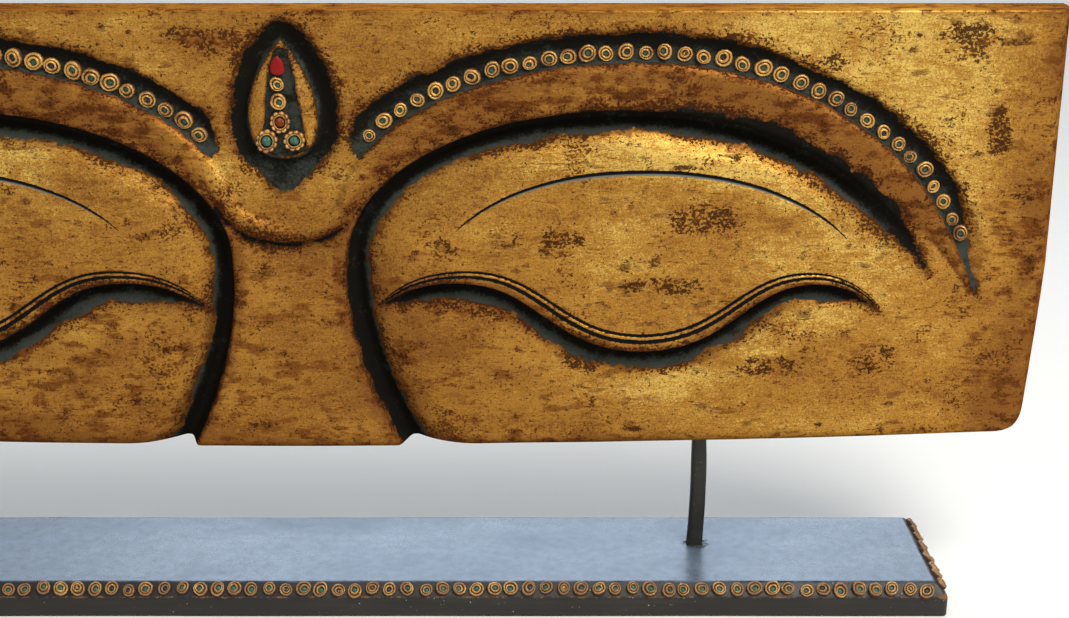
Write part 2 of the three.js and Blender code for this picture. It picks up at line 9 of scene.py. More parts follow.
import bpy
import numpy as np
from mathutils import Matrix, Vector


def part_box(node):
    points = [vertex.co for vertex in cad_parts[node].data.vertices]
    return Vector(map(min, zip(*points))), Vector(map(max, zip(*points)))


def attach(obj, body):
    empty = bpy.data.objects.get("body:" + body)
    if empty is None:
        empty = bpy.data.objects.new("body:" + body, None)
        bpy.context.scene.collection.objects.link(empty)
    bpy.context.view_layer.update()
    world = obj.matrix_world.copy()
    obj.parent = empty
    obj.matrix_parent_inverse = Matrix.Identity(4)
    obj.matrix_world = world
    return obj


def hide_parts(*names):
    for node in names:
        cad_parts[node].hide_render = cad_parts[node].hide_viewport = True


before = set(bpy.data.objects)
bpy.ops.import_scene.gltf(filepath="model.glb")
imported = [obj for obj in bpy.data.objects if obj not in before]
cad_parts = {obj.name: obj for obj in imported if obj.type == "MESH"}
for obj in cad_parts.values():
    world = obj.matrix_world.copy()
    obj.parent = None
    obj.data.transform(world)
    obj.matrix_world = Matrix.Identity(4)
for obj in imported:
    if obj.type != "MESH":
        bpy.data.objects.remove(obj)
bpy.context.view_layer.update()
MM = 0.001
rng = np.random.default_rng(7)
print("nodes in the frame:", len(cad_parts))

# %% [markdown]
# ## The camera
#
# The photograph was taken a metre away, looking down by 18 degrees, with the right-hand part of
# the panel in view. The focal length comes from the photograph's width and its focal length in
# pixels. The camera is made first, so that each piece can be judged in the same view.

# %% Camera
PHOTO_WIDTH = 1069
FOCAL_PIXELS = 1650
SENSOR = 36.0
VIEWPOINT = (0.1625, -1.060, 0.545)
LOOK_DOWN = 18

camera_data = bpy.data.cameras.new("camera")
camera_data.sensor_width = SENSOR
camera_data.lens = SENSOR * FOCAL_PIXELS / PHOTO_WIDTH
camera = bpy.data.objects.new("camera", camera_data)
bpy.context.scene.collection.objects.link(camera)
camera.location = VIEWPOINT
camera.rotation_euler = (np.radians(90 - LOOK_DOWN), 0, 0)
bpy.context.scene.camera = camera
print("lens in millimetres:", round(camera_data.lens, 2))

# %% [markdown]
# ## Writing shaders as sums
#
# A finish is mostly arithmetic on patterns: a speckle here, but only where the paint is thin.
# Wrapping a node's output in a small class lets that be written as an ordinary expression, and
# each operator adds the Math node that does the same.

# %% A socket that can be used in sums
class Pattern:
    """One output of a shader node. Sums and products of patterns add Math nodes."""

    def __init__(self, tree, output):
        self.tree = tree
        self.output = output

    def node(self, kind, settings=None, inputs=None, output=0):
        """Adds a node of any kind: its settings first, then its inputs, and gives one output."""
        made = self.tree.nodes.new(kind)
        for name, value in (settings or {}).items():
            setattr(made, name, value)
        for name, value in (inputs or {}).items():
            socket = made.inputs[name]
            if isinstance(value, Pattern):
                self.tree.links.new(value.output, socket)
            else:
                socket.default_value = value
        return Pattern(self.tree, made.outputs[output])

    def math(self, operation, *terms, clamp=False):
        inputs = dict(enumerate(terms))
        return self.node("ShaderNodeMath", {"operation": operation, "use_clamp": clamp}, inputs)

    def __add__(self, other):
        return self.math("ADD", self, other)

    def __mul__(self, other):
        return self.math("MULTIPLY", self, other)

    def __sub__(self, other):
        return self.math("SUBTRACT", self, other)

    def __rsub__(self, other):
        return self.math("SUBTRACT", other, self)

    def __neg__(self):
        return self.math("MULTIPLY", self, -1.0)

    __radd__ = __add__
    __rmul__ = __mul__

    def at_least(self, other):
        return self.math("MAXIMUM", self, other)

    def at_most(self, other):
        return self.math("MINIMUM", self, other)

    def ramp(self, low, high):
        """0 below low, 1 above high, and a smooth slope between."""
        settings = {"interpolation_type": "SMOOTHSTEP"}
        inputs = {"Value": self, "From Min": low, "From Max": high}
        return self.node("ShaderNodeMapRange", settings, inputs)

    def blend(self, below, above):
        """The colour below where this is 0 and the colour above where it is 1."""
        settings = {"data_type": "RGBA", "clamp_factor": True}
        return self.node("ShaderNodeMix", settings, {0: self, 6: below, 7: above}, output=2)

    def stretched(self, x, y, z):
        """Coordinates scaled along each axis."""
        return self.node("ShaderNodeVectorMath", {"operation": "MULTIPLY"}, {0: self, 1: (x, y, z)})

    def shifted(self, amount):
        """Coordinates moved along each axis, for a noise that differs from another."""
        moved = (amount, amount, amount)
        return self.node("ShaderNodeVectorMath", {"operation": "ADD"}, {0: self, 1: moved})

    def noise(self, size, detail=3.0, roughness=0.55, warp=0.0):
        """Cloudy noise from 0 to 1 whose blobs are about size millimetres wide."""
        inputs = {"Vector": self, "Scale": 1 / (size * MM), "Detail": detail,
                  "Roughness": roughness, "Distortion": warp}
        return self.node("ShaderNodeTexNoise", None, inputs)

    def attribute(self, name):
        return self.node("ShaderNodeAttribute", {"attribute_name": name}, None, output="Fac")


def srgb(red, green, blue):
    """A colour read as 0 to 255 on a screen, as the linear colour that a shader takes."""
    share = np.array([red, green, blue]) / 255
    linear = np.where(share < 0.04045, share / 12.92, ((share + 0.055) / 1.055) ** 2.4)
    return (*linear.tolist(), 1.0)


def new_material(name, **constants):
    """An empty Principled material. Gives the material, its shader node and the place pattern."""
    material = bpy.data.materials.new(name)
    material.use_nodes = True
    tree = material.node_tree
    shader = tree.nodes["Principled BSDF"]
    for socket, value in constants.items():
        shader.inputs[socket.replace("_", " ")].default_value = value
    place = tree.nodes.new("ShaderNodeTexCoord")
    return material, shader, Pattern(tree, place.outputs["Object"])


def feed(shader, place, colour, roughness, height, depth, metallic=None):
    """Links the finished patterns: height is bumped by depth millimetres."""
    tree = place.tree
    tree.links.new(colour.output, shader.inputs["Base Color"])
    tree.links.new(roughness.output, shader.inputs["Roughness"])
    if metallic is not None:
        tree.links.new(metallic.output, shader.inputs["Metallic"])
    normal = place.node("ShaderNodeBump", None, {"Height": height, "Distance": depth * MM})
    tree.links.new(normal.output, shader.inputs["Normal"])


# %% [markdown]
# ## Meshes from arrays
#
# Every new surface is a table of points worked out as whole arrays. One helper turns such a
# table into faces, another hands points and faces to Blender.

# %% Mesh helpers
def grid_faces(rows, columns, around=False):
    """Corner numbers of the cells between rows of points, closed on itself if around."""
    index = np.arange(rows * columns).reshape(rows, columns)
    if around:
        index = np.hstack([index, index[:, :1]])
    corners = (index[:-1, :-1], index[:-1, 1:], index[1:, 1:], index[1:, :-1])
    return np.stack(corners, axis=-1).reshape(-1, 4)


def make_piece(name, points, faces, material, replaces=(), smooth=True, fields=None):
    """A mesh object from an array of points in millimetres and a list of faces."""
    mesh = bpy.data.meshes.new(name)
    mesh.from_pydata((np.asarray(points, float) * MM).tolist(), [], [list(face) for face in faces])
    mesh.polygons.foreach_set("use_smooth", np.broadcast_to(smooth, len(mesh.polygons)))
    for field, values in (fields or {}).items():
        attribute = mesh.attributes.new(field, "FLOAT", "POINT")
        attribute.data.foreach_set("value", np.ascontiguousarray(values, np.float32).ravel())
    mesh.update()
    piece = bpy.data.objects.new(name, mesh)
    bpy.context.scene.collection.objects.link(piece)
    mesh.materials.append(material)
    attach(piece, "root")
    if replaces:
        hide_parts(*replaces)
    print(name, len(mesh.polygons), "faces")
    return piece


def smooth_step(low, high, value):
    share = np.clip((value - low) / (high - low), 0, 1)
    return share * share * (3 - 2 * share)


# %% [markdown]
# ## The carver's lines
#
# The board is laid out on a grid, 18 parts long and 12 high, and a few curves are drawn on it:
# the cut round the eye, the brow, the lash line, the crease of the lid and the drop on the
# forehead. The design is a calm generic one on that grid. The photograph only sets the manner
# of the carving, which is how deep, how round and how wide the cuts are.

# %% Sizes and curves
panel_low, panel_high = (np.array(corner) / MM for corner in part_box("panel"))
LENGTH = panel_high[0] - panel_low[0]
HEIGHT = panel_high[2] - panel_low[2]
PANEL_BOTTOM = panel_low[2]
PANEL_BACK = panel_high[1]
COLUMN = LENGTH / 18
ROW = HEIGHT / 12


def carved_line(points, across=COLUMN, up=ROW, steps=24):
    """Chained curves (1-t)^3 a + 3 (1-t)^2 t b + 3 (1-t) t^2 c + t^3 d, in millimetres."""
    knots = np.array(points, float) * (across, up)
    t = np.linspace(0, 1, steps + 1)[:, None]
    chain = []
    for first in range(0, len(knots) - 1, 3):
        a, b, c, d = knots[first:first + 4]
        curve = (1 - t) ** 3 * a + 3 * (1 - t) ** 2 * t * b + 3 * (1 - t) * t ** 2 * c + t ** 3 * d
        chain.append(curve[1:] if chain else curve)
    return np.concatenate(chain)


SOCKET = carved_line([(1.5, -0.3), (1.12, 1.2), (0.76, 3.2), (0.76, 5.4),
                      (0.76, 7.4), (2, 9.25), (3.95, 9.25), (5.7, 9.25), (6.95, 7.5), (7.62, 4.6)])
BROW = carved_line([(0, 6.15), (0.42, 6.15), (0.62, 6.5), (0.78, 7.35),
                    (1.1, 8.8), (2.2, 9.98), (3.95, 9.98), (5.9, 9.98), (7.35, 7.8), (8.05, 4.5)])
LASH = carved_line([(1, 4), (1.25, 4.75), (1.6, 5.1), (2.1, 5.1), (3, 5.1), (3.2, 3.3), (4.15, 3.3),
                    (5.1, 3.3), (5.3, 5.05), (6.1, 5.05), (6.5, 5.05), (6.8, 4.6), (7, 4)])
CREASE = carved_line([(1.95, 6.2), (2.5, 7.4), (3.3, 7.8), (4.2, 7.8),
                      (5.2, 7.8), (6.1, 7.1), (6.55, 5.95)])
DROP = carved_line([(0, 281.5), (10, 272), (22.9, 252), (22.9, 230),
                    (22.9, 212), (15, 202.8), (0, 202.8)], 1, 1)


def nearest(line, x, z):
    """Distance from each place to a line, positive left of travel, and the share of it run."""
    start = line[:-1]
    step = np.diff(line, axis=0)
    length = np.linalg.norm(step, axis=1)
    to_x = np.ravel(x)[:, None] - start[:, 0]
    to_z = np.ravel(z)[:, None] - start[:, 1]
    share = np.clip((to_x * step[:, 0] + to_z * step[:, 1]) / length ** 2, 0, 1)
    off_x = to_x - share * step[:, 0]
    off_z = to_z - share * step[:, 1]
    squared = off_x ** 2 + off_z ** 2
    best = squared.argmin(axis=1)
    row = np.arange(best.size)
    turn = step[best, 0] * off_z[row, best] - step[best, 1] * off_x[row, best]
    distance = np.where(turn >= 0, 1, -1) * np.sqrt(squared[row, best])
    run = (np.cumsum(length) - length)[best] + share[row, best] * length[best]
    shape = np.shape(x)
    return distance.reshape(shape), (run / length.sum()).reshape(shape)


def line_length(line):
    return np.linalg.norm(np.diff(line, axis=0), axis=1).sum()


print("brow line runs", round(line_length(BROW)), "millimetres")

# %% [markdown]
# ## The carving
#
# The relief is one height for each place of the board's face. It starts as the plain board,
# falls a little towards the ends and swells over each eye. The brow is added as a rounded roll.
# The cuts round the eye, under the lash line and beside the brow are taken away, each with one
# steep wall and one long slope, as a gouge leaves them. Thin lines are scratched in last.

# %% Parts of the relief
def brow_half_width(share):
    """Slim at the bridge, broad over the eye as a power of a sine, a point at the end."""
    arch = np.sin(np.pi * np.clip((share - 0.06) / 1.02, 0, 1)) ** 1.3
    return (7 + 11.5 * arch) * (1 - 0.75 * smooth_step(0.8, 1.03, share))


def rounded_edge(radius, distance):
    """How far a quarter-round edge falls back: r - sqrt(r^2 - (r - d)^2)."""
    inward = np.clip(distance, 0, radius)
    return radius - np.sqrt(radius ** 2 - (radius - inward) ** 2)


def half_length_at(z):
    """The ends draw in by 8 mm below a height of 130, as a power of the way down."""
    return LENGTH / 2 - 8 * np.clip(1 - z / 130, 0, 1) ** 1.2


def bottom_at(x):
    """The bottom edge rises towards the ends: 8 (|x| / 455)^1.6."""
    return 8 * (np.abs(x) / 455) ** 1.6


LIP = 13.0


def lip_width(share):
    """The lash line's lip: widest in the middle, nothing at both ends."""
    return LIP * np.sqrt(np.clip(np.sin(np.pi * share), 0, 1))


def groove(distance, half_width, depth):
    """A scratched line: depth (1 - (d / w)^2) within its half width w."""
    across = np.clip(np.abs(distance) / np.maximum(half_width, 0.01), 0, 1)
    return depth * (1 - across ** 2)


def survey(x, z):
    """The distances from every place to the carver's lines, on the right half or mirrored."""
    away = np.abs(x)
    told = {"x": away, "z": z}
    for name, line in (("socket", SOCKET), ("brow", BROW), ("lash", LASH), ("crease", CREASE),
                       ("drop", DROP)):
        told[name], told[name + "_share"] = nearest(line, away, z)
    half = brow_half_width(told["brow_share"])
    told["beyond_roll"] = told["brow"] - half
    told["under_roll"] = -told["brow"] - half
    told["lip"] = lip_width(told["lash_share"])
    told["under_lip"] = -told["lash"] - told["lip"]
    ends = smooth_step(0, 0.12, told["lash_share"]) * smooth_step(0, 0.12, 1 - told["lash_share"])
    told["lash_ends"] = ends
    crease_end = np.sin(np.pi * np.clip(told["crease_share"], 0, 1))
    told["crease_width"] = 1.1 * np.sqrt(np.clip(crease_end, 0, 1)) + 0.01
    return told


def brow_roll(told):
    """A roll with profile 1 - u^2, its crest leaning to the upper edge over the eye."""
    across = told["brow"] / brow_half_width(told["brow_share"])
    lean = smooth_step(0.05, 0.3, told["brow_share"])
    crest = 0.45 * lean
    above = 1 - ((across - crest) / (1 - crest)) ** 2
    below = 1 - ((crest - across) / (1 + crest)) ** 2
    profile = np.clip(np.where(across > crest, above, below), 0, 1)
    rise = 4.2 - 0.8 * lean
    return rise * profile * (1 - smooth_step(0.86, 1, told["brow_share"]))


def socket_cut(told):
    """The deep cut round the eye: steep on the brow's side, a long slope towards the lid."""
    share = told["socket_share"]
    run = share * line_length(SOCKET)
    fade = 1 - smooth_step(0.78, 1, share)
    depth = (13.5 + 5.5 * (1 - smooth_step(0, 150, run))) * fade
    beyond = np.abs(told["socket"]) - 1.5
    slope = (1 - np.clip(beyond / (39 * np.sqrt(fade) + 1), 0, 1)) ** 2.4
    wall_width = 3.4 + 5 * (1 - smooth_step(60, 200, run))
    wall = 1 - smooth_step(0, wall_width, beyond)
    return depth * np.where(told["socket"] < 0, slope, wall)


def channel_cut(told):
    """The shallow flat channel above the brow, where the ringlets sit."""
    share = told["brow_share"]
    opened = smooth_step(0.135, 0.19, share) * (1 - smooth_step(0.92, 1, share))
    near_wall = smooth_step(-1.5, 1, told["beyond_roll"])
    far_wall = 1 - smooth_step(0, 6, told["beyond_roll"] - 14.5 * np.sqrt(opened))
    return np.where(told["brow"] > 0, 4.6 * opened * near_wall * far_wall, 0)


def nose_rise(told):
    """The nose is a raised flat that starts low under the bridge."""
    sides = smooth_step(2, 12, told["socket"])
    rise = sides * (4.5 * smooth_step(0, 16, told["under_roll"]) - 2)
    inside = (told["x"] < 1.8 * COLUMN) & (told["z"] < 6.5 * ROW)
    return np.where(inside & (told["under_roll"] > 0) & (told["socket"] > 0), rise, 0)


def lash_relief(told):
    """A rounded lip, undercut below, with a long slope that rises again to the cheek."""
    across = -2 * told["lash"] / np.maximum(told["lip"], 0.01) - 1
    roll = 1.8 * np.sqrt(np.clip(1 - across ** 2, 0, 1))
    slope = (1 - np.clip((told["under_lip"] - 1.5) / 32, 0, 1)) ** 2.1
    wall = 1 - smooth_step(0, 1.8, -told["under_lip"])
    level = np.where(told["under_lip"] > 0, -10.5 * slope, roll - 10.5 * wall)
    return np.where(told["lash"] < 0, level * told["lash_ends"], 0)


def scratched_lines(told):
    """Two lines along the lash, the second a third of the way down its lip, and the crease."""
    taper = told["lip"] / LIP
    upper = groove(told["lash"], 0.9 * taper + 0.15, 0.9)
    lower = groove(told["lash"] + 0.32 * told["lip"], 1.1 * taper + 0.15, 1.1)
    crease = groove(told["crease"], told["crease_width"], 1.2)
    return np.maximum(np.maximum(upper, lower) * (taper > 0.05), crease)


def inside_bed(told):
    """How far inside the drop's bed. Its half width is 3 + 12 d^0.65 at the share d of the way down."""
    down = np.clip((275 - told["z"]) / 69, 0, 1)
    across = 3 + 12 * down ** 0.65 - told["x"]
    return np.minimum(across, np.minimum(-told["drop"] - 2, 275 - told["z"]))


def drop_relief(told, level):
    """The drop stands in a hollow and has a flat bed down its middle for the stones."""
    drop = told["drop"]
    hollowed = level - 6.5 * (1 - smooth_step(4, 17, drop))
    outside = np.maximum(hollowed, level - 1.2 - drop * 3)
    shoulder = np.clip(9 + drop, 0, 9)
    bed = 1.6 * smooth_step(0, 1.5, inside_bed(told))
    return np.where(drop >= 0, outside, level + 1.2 - 0.03 * shoulder ** 2 - bed)


# %% [markdown]
# ## Marks of the hand
#
# A carved face is never as even as its formula. Two things are added: a slow unevenness, made
# as a sum of long waves, and the shallow hollows that a flat gouge leaves side by side. The
# hollows are a cellular pattern: each place takes the square of its distance to the nearest of
# some scattered strokes, which gives round hollows that meet in crisp ridges.

# %% Unevenness and gouge strokes
def waves(x, z, sizes, seed):
    """The mean of sines of x and z with random directions, with the given wavelengths."""
    draw = np.random.default_rng(seed)
    total = np.zeros(np.shape(x))
    for size in sizes:
        turn = draw.uniform(0, np.pi)
        phase = draw.uniform(0, 2 * np.pi)
        along = x * np.cos(turn) / 1.6 + z * np.sin(turn)
        total += np.sin(2 * np.pi * along / size + phase)
    return total / len(sizes)


STROKE = {"length": 46, "width": 21, "tilt": 0.12}


def gouge_hollows(x, z, seed=3):
    """The square of the scaled distance to the nearest stroke, 0 in its middle, 1 at a ridge."""
    draw = np.random.default_rng(seed)
    columns = np.arange(-LENGTH / 2, LENGTH / 2 + STROKE["length"], STROKE["length"])
    rows = np.arange(-STROKE["width"], HEIGHT + STROKE["width"], STROKE["width"])
    seed_x, seed_z = (table.ravel() for table in np.meshgrid(columns, rows))
    seed_x = seed_x + draw.uniform(-0.45, 0.45, seed_x.size) * STROKE["length"]
    seed_z = seed_z + draw.uniform(-0.4, 0.4, seed_z.size) * STROKE["width"]
    flat_x, flat_z = np.ravel(x), np.ravel(z)
    best = np.full(flat_x.size, np.inf)
    for centre_x, centre_z in zip(seed_x, seed_z):
        along = (flat_x - centre_x) / (STROKE["length"] / 2)
        across = (flat_z - centre_z + STROKE["tilt"] * (flat_x - centre_x)) / (STROKE["width"] / 2)
        best = np.minimum(best, along ** 2 + across ** 2)
    return np.clip(best, 0, 1.6).reshape(np.shape(x))


def tooling(told, x, z):
    """How strongly the strokes show: most below the lash line and on the lid's slope."""
    cheek = smooth_step(2, 14, told["under_lip"]) * (1 - smooth_step(30, 60, told["under_lip"]))
    cheek = cheek * (told["lash"] < 0) * told["lash_ends"]
    lid = smooth_step(4, 12, -told["socket"]) * (1 - smooth_step(30, 55, -told["socket"]))
    return 0.1 + 0.6 * cheek + 0.4 * lid * (1 - smooth_step(0.8, 1, told["socket_share"]))


def relief(x, z):
    """Level of the carved face, forward of the flat back, and the survey it came from."""
    told = survey(x, z)
    away = told["x"]
    fall = 3 * smooth_step(330, LENGTH / 2, away)
    swell = np.exp(-np.abs((away / COLUMN - 4) / 3.1) ** 3.2 - ((z / ROW - 5.6) / 3.4) ** 2)
    level = 36 - fall + 5 * swell + brow_roll(told) + nose_rise(told)
    level += lash_relief(told) - socket_cut(told) - channel_cut(told) - scratched_lines(told)
    level = drop_relief(told, level)
    outside_drop = smooth_step(0, 8, told["drop"])
    level += 0.35 * waves(x, z, (210, 140, 95, 60), 11)
    level += tooling(told, x, z) * outside_drop * (gouge_hollows(x, z) - 0.5)
    level -= 1.9 * rounded_edge(12, half_length_at(z) - away)
    level -= rounded_edge(6, z - bottom_at(x)) + rounded_edge(1.6, HEIGHT - z)
    return level, told


# %% [markdown]
# ## A net that follows the cuts
#
# A height map on an even grid turns a slanted cut into steps. Here the grid lines are moved
# instead: each column of points crowds where the surface bends most along it, so the lines of
# the net run along the carver's lines. The places come from equal shares of the bending.

# %% The net of the face
NET = {"columns": 520, "rows": 170, "samples": 300}
RIM_STEPS = np.array([0, 0.25, 0.8, 1.8, 3.4])


def face_place(u, v):
    """Across u from -1 to 1 and up v from 0 to 1, on the board's outline, in millimetres."""
    lowest = bottom_at(u * LENGTH / 2) + rounded_edge(26, (1 - np.abs(u)) * LENGTH / 2)
    z = lowest + (HEIGHT - lowest) * v
    return u * half_length_at(z), z


def equal_shares(weights, count, axis=0):
    """Places from 0 to 1 that part rows of weights into equal loads."""
    load = np.cumsum(weights, axis=axis)
    load = np.concatenate([np.zeros_like(load[:1]), load]) / load[-1:]
    even = np.linspace(0, 1, len(load))
    goals = np.linspace(0, 1, count)
    return np.stack([np.interp(goals, load[:, i], even) for i in range(load.shape[1])])


def softened(values, times, axis):
    """Each value averaged with its two neighbours, times over."""
    for _ in range(times):
        padded = np.pad(values, [(1, 1) if i == axis else (0, 0) for i in range(values.ndim)], "edge")
        middle = np.moveaxis(padded, axis, 0)
        values = np.moveaxis((middle[:-2] + 2 * middle[1:-1] + middle[2:]) / 4, 0, axis)
    return values


sample_u = np.linspace(0, 1, NET["samples"])
sample_v = np.linspace(0, 1, NET["samples"])
sample_x, sample_z = face_place(*np.meshgrid(sample_u, sample_v))
sample_level, _ = relief(sample_x, sample_z)
bend_u = np.sqrt((np.diff(sample_level, 2, axis=1) ** 2).mean(axis=0))
bend_v = np.abs(np.diff(sample_level, 2, axis=0)) ** 0.5
bend_v[:8] = bend_v[-8:] = 0
load_u = softened(bend_u ** 0.5 + 0.45, 6, 0)
load_v = softened(softened(bend_v + 0.5, 2, 0), 3, 1)

half_columns = equal_shares(load_u[:, None], NET["columns"] // 2 + 1)[0]
column_load = np.stack([np.interp(half_columns, sample_u, row) for row in load_v])
column_rows = softened(equal_shares(column_load, NET["rows"] + 1), 2, 0)
rim_width = 6.5 / HEIGHT
column_rows = rim_width + (1 - 2 * rim_width) * column_rows
rim_rows = np.broadcast_to(RIM_STEPS / HEIGHT, (len(half_columns), len(RIM_STEPS)))
column_rows = np.hstack([rim_rows, column_rows, 1 - rim_rows[:, ::-1]])

net_u = np.concatenate([-half_columns[:0:-1], half_columns])
net_v = np.concatenate([column_rows[:0:-1], column_rows])
face_x, face_z = face_place(net_u[:, None] * np.ones_like(net_v), net_v)
face_level, face_told = relief(face_x, face_z)
print("net of the face:", face_x.shape)

# %% [markdown]
# ## Where the dark paint lies
#
# The maker painted the cuts black and rubbed gold over what stands up, so the border between
# the two follows the cuts but is ragged. Each point of the net is told how deep it lies inside
# a painted cut, in millimetres, and the shader adds its own fine raggedness to that number. In
# this way the border stays sharp even between the points of the net.
# The grey on the cuts' slopes is partly dry brushing and partly a painted sheen.

# %% Fields for the paint
def within(distance, low, high):
    """How far inside the stretch from low to high a distance lies, negative outside."""
    return np.minimum(distance - low, high - distance)


def socket_paint(told, uneven):
    """Black from the brow's wall to the foot of the lid's slope, greyer up the slope as a painted sheen.
    """
    share = told["socket_share"]
    end = 1 - smooth_step(0.86, 1, share)
    by_nose = 1 - smooth_step(0.12, 0.32, share)
    far = smooth_step(0.5, 0.8, share)
    brow_side = 4 + 3 * by_nose + 6 * far + (0.5 + 1.6 * far) * uneven
    lid_side = 9.5 + uneven - 1.5 * by_nose
    dark = np.minimum(told["socket"] + lid_side * end,
                      (1 + 2 * by_nose) * (brow_side * end - told["socket"]))
    return np.where(end > 0.02, dark, -20), smooth_step(4, 9, -told["socket"])


def channel_paint(told, uneven):
    """Black along the channel's outer edge, greyer beside the ringlets from dry brushing and a painted
    sheen, narrowing to its tail.
    """
    share = told["brow_share"]
    opened = smooth_step(0.135, 0.175, share)
    tail = 1 - smooth_step(0.86, 0.995, share)
    width = (19.5 - 2 * smooth_step(0.2, 0.5, share)) * np.sqrt(opened) + 0.5 * uneven
    width = width * (0.15 + 0.85 * tail) * (share < 0.998)
    dark = np.minimum(3 * (told["beyond_roll"] + 0.9), width - told["beyond_roll"])
    dark = np.where((told["brow"] > 0) & (opened > 0.02), dark, -20)
    return dark, 0.8 * (1 - smooth_step(5, 15, told["beyond_roll"]))


def lash_paint(told, uneven):
    """Black under the lash line's lip, greyer further down as a painted sheen."""
    reach = (11.5 + 1.5 * uneven) * told["lash_ends"]
    dark = np.where(told["lash"] < 0, within(told["under_lip"], -1.3, reach), -20)
    return dark, smooth_step(3.5, 9, told["under_lip"])


def drop_paint(told, uneven):
    """A black ring round the drop, with a grey tail below it, and the drop's bed."""
    tail = 9 * smooth_step(212, 198, told["z"]) * smooth_step(20, 6, told["x"])
    dark = np.minimum(3 * (told["drop"] + 0.7), 11.5 + tail + uneven - told["drop"])
    beside = 0.7 * (1 - smooth_step(0, 2.6, told["drop"])) * (told["drop"] > -1)
    below = smooth_step(210, 196, told["z"])
    bed = inside_bed(told)
    return np.maximum(dark, 4 * bed + 0.3), np.where(bed > 0, 0.7, np.maximum(beside, 0.6 * below))


def thin_gold_and_painted_shade(told, x, z):
    """Thin gold and painted shade: faces turned down, both ends, corners, long edges, lower middle and
    lower left.
    """
    end = 1 - smooth_step(0.86, 1, told["socket_share"])
    brow_face = smooth_step(-2, 7, within(told["socket"], 2, 15) * end * (told["brow"] < 2))
    across = told["brow"] / brow_half_width(told["brow_share"])
    # The roll's lower face is browner: thin gold and painted shade.
    under_brow_painted_shade = smooth_step(0.5, -0.5, across) * smooth_step(-1.25, -0.95, across)
    under_brow_painted_shade = under_brow_painted_shade * (1 - smooth_step(0.86, 1, told["brow_share"]))
    lip = np.clip(-told["lash"] / np.maximum(told["lip"], 0.1), 0, 2)
    under_lash_painted_shade = smooth_step(0.45, 0.8, lip) * (lip < 1.1) * told["lash_ends"]
    ends_width = 26 + 40 * smooth_step(260, 120, z)
    ends = smooth_step(1, 0.1, (half_length_at(z) - told["x"]) / ends_width)
    # The lower middle and the lower left are darkened as painted shade.
    low_middle_painted_shade = smooth_step(330, 60, told["x"]) * smooth_step(210, 90, z)
    corner = smooth_step(70, 10, np.hypot(LENGTH / 2 - told["x"], z))
    low_left_painted_shade = smooth_step(-60, -220, x) * smooth_step(150, 70, z)
    # The top edge is darkened as painted shade, to tone down its highlight.
    edges = 0.4 * smooth_step(14, 0, z - bottom_at(x)) + 0.35 * smooth_step(5, 1, HEIGHT - z)
    sides = 0.6 * ends + 0.35 * corner + edges + 0.4 * low_middle_painted_shade + 0.35 * low_left_painted_shade
    on_brow = 0.75 * (np.abs(across) < 1) * smooth_step(0.1, 0.25, told["brow_share"])
    return np.clip(0.8 * brow_face + 0.5 * under_brow_painted_shade + on_brow + 0.5 * under_lash_painted_shade + sides, 0, 1.2)


def thick_gold_and_painted_highlight(told):
    """Thick rubbed gold and a painted highlight: the lid's slope, the cheek below the lash line and the
    upper right.
    """
    share = told["socket_share"]
    lid = smooth_step(0, 14, within(told["socket"], -46, -9)) * (told["lash"] > 0)
    lid = 0.8 * lid * smooth_step(0.42, 0.6, share) * (1 - smooth_step(0.8, 0.95, share))
    cheek = smooth_step(0, 10, within(told["under_lip"], 10, 40)) * told["lash_ends"]
    # The upper right of the board is lightened as a painted highlight.
    far = smooth_step(290, 400, told["x"] + 0.8 * (told["z"] - 200)) * (told["beyond_roll"] > 17)
    far = far * smooth_step(15, 70, LENGTH / 2 - told["x"])
    return np.clip(lid + 0.35 * cheek * (told["lash"] < 0) + 0.65 * far, 0, 1) * (told["drop"] > 10)


# Places where the paint is chipped, and others where it is pitted all over: the middle and the
# half width and half height of each, in millimetres from the middle of the board's lower edge.
CHIPS = np.array([
    (214, 168, 2.6, 2.3), (269, 161, 2.2, 2.0), (295, 203, 3.3, 2.8), (195, 217, 2.3, 3.8),
    (259, 198, 7.9, 1.7), (184, 192, 2.1, 1.8), (441, 287, 8.6, 1.9), (423, 284, 3.6, 1.9),
    (426, 273, 2.2, 1.7), (446, 266, 2.2, 1.8), (408, 283, 2.0, 1.6), (492, 286, 1.8, 1.8),
    (504, 288, 2.6, 6.2), (471, 166, 3.9, 1.5), (357, 17, 3.0, 2.4), (344, 66, 2.0, 1.8),
    (231, 14, 9.2, 2.4), (174, 49, 2.2, 1.8), (-96, 285, 2.8, 2.1), (-180, 287, 6.6, 2.1),
    (-116, 278, 2.0, 1.6), (363, 209, 2.6, 1.8), (436, 244, 2.0, 1.7), (440, 232, 2.2, 1.8)])
PITTED = np.array([
    (275, 164, 34, 20), (410, 215, 11, 21), (464, 219, 12, 21), (483, 180, 11, 13),
    (393, 62, 24, 17), (441, 282, 27, 13), (347, 265, 30, 10), (183, 150, 23, 10),
    (320, 60, 33, 11), (201, 63, 27, 9), (249, 118, 40, 9), (-176, 262, 20, 14), (-50, 282, 33, 9)])


def inside_marks(marks, x, z):
    """1 - sqrt(((x-a)/w)^2 + ((z-b)/h)^2), the largest over all marks: 1 in a middle, 0 at a rim."""
    across = (x[..., None] - marks[:, 0]) / marks[:, 2]
    up = (z[..., None] - marks[:, 1]) / marks[:, 3]
    return 1 - np.hypot(across, up).min(axis=-1)


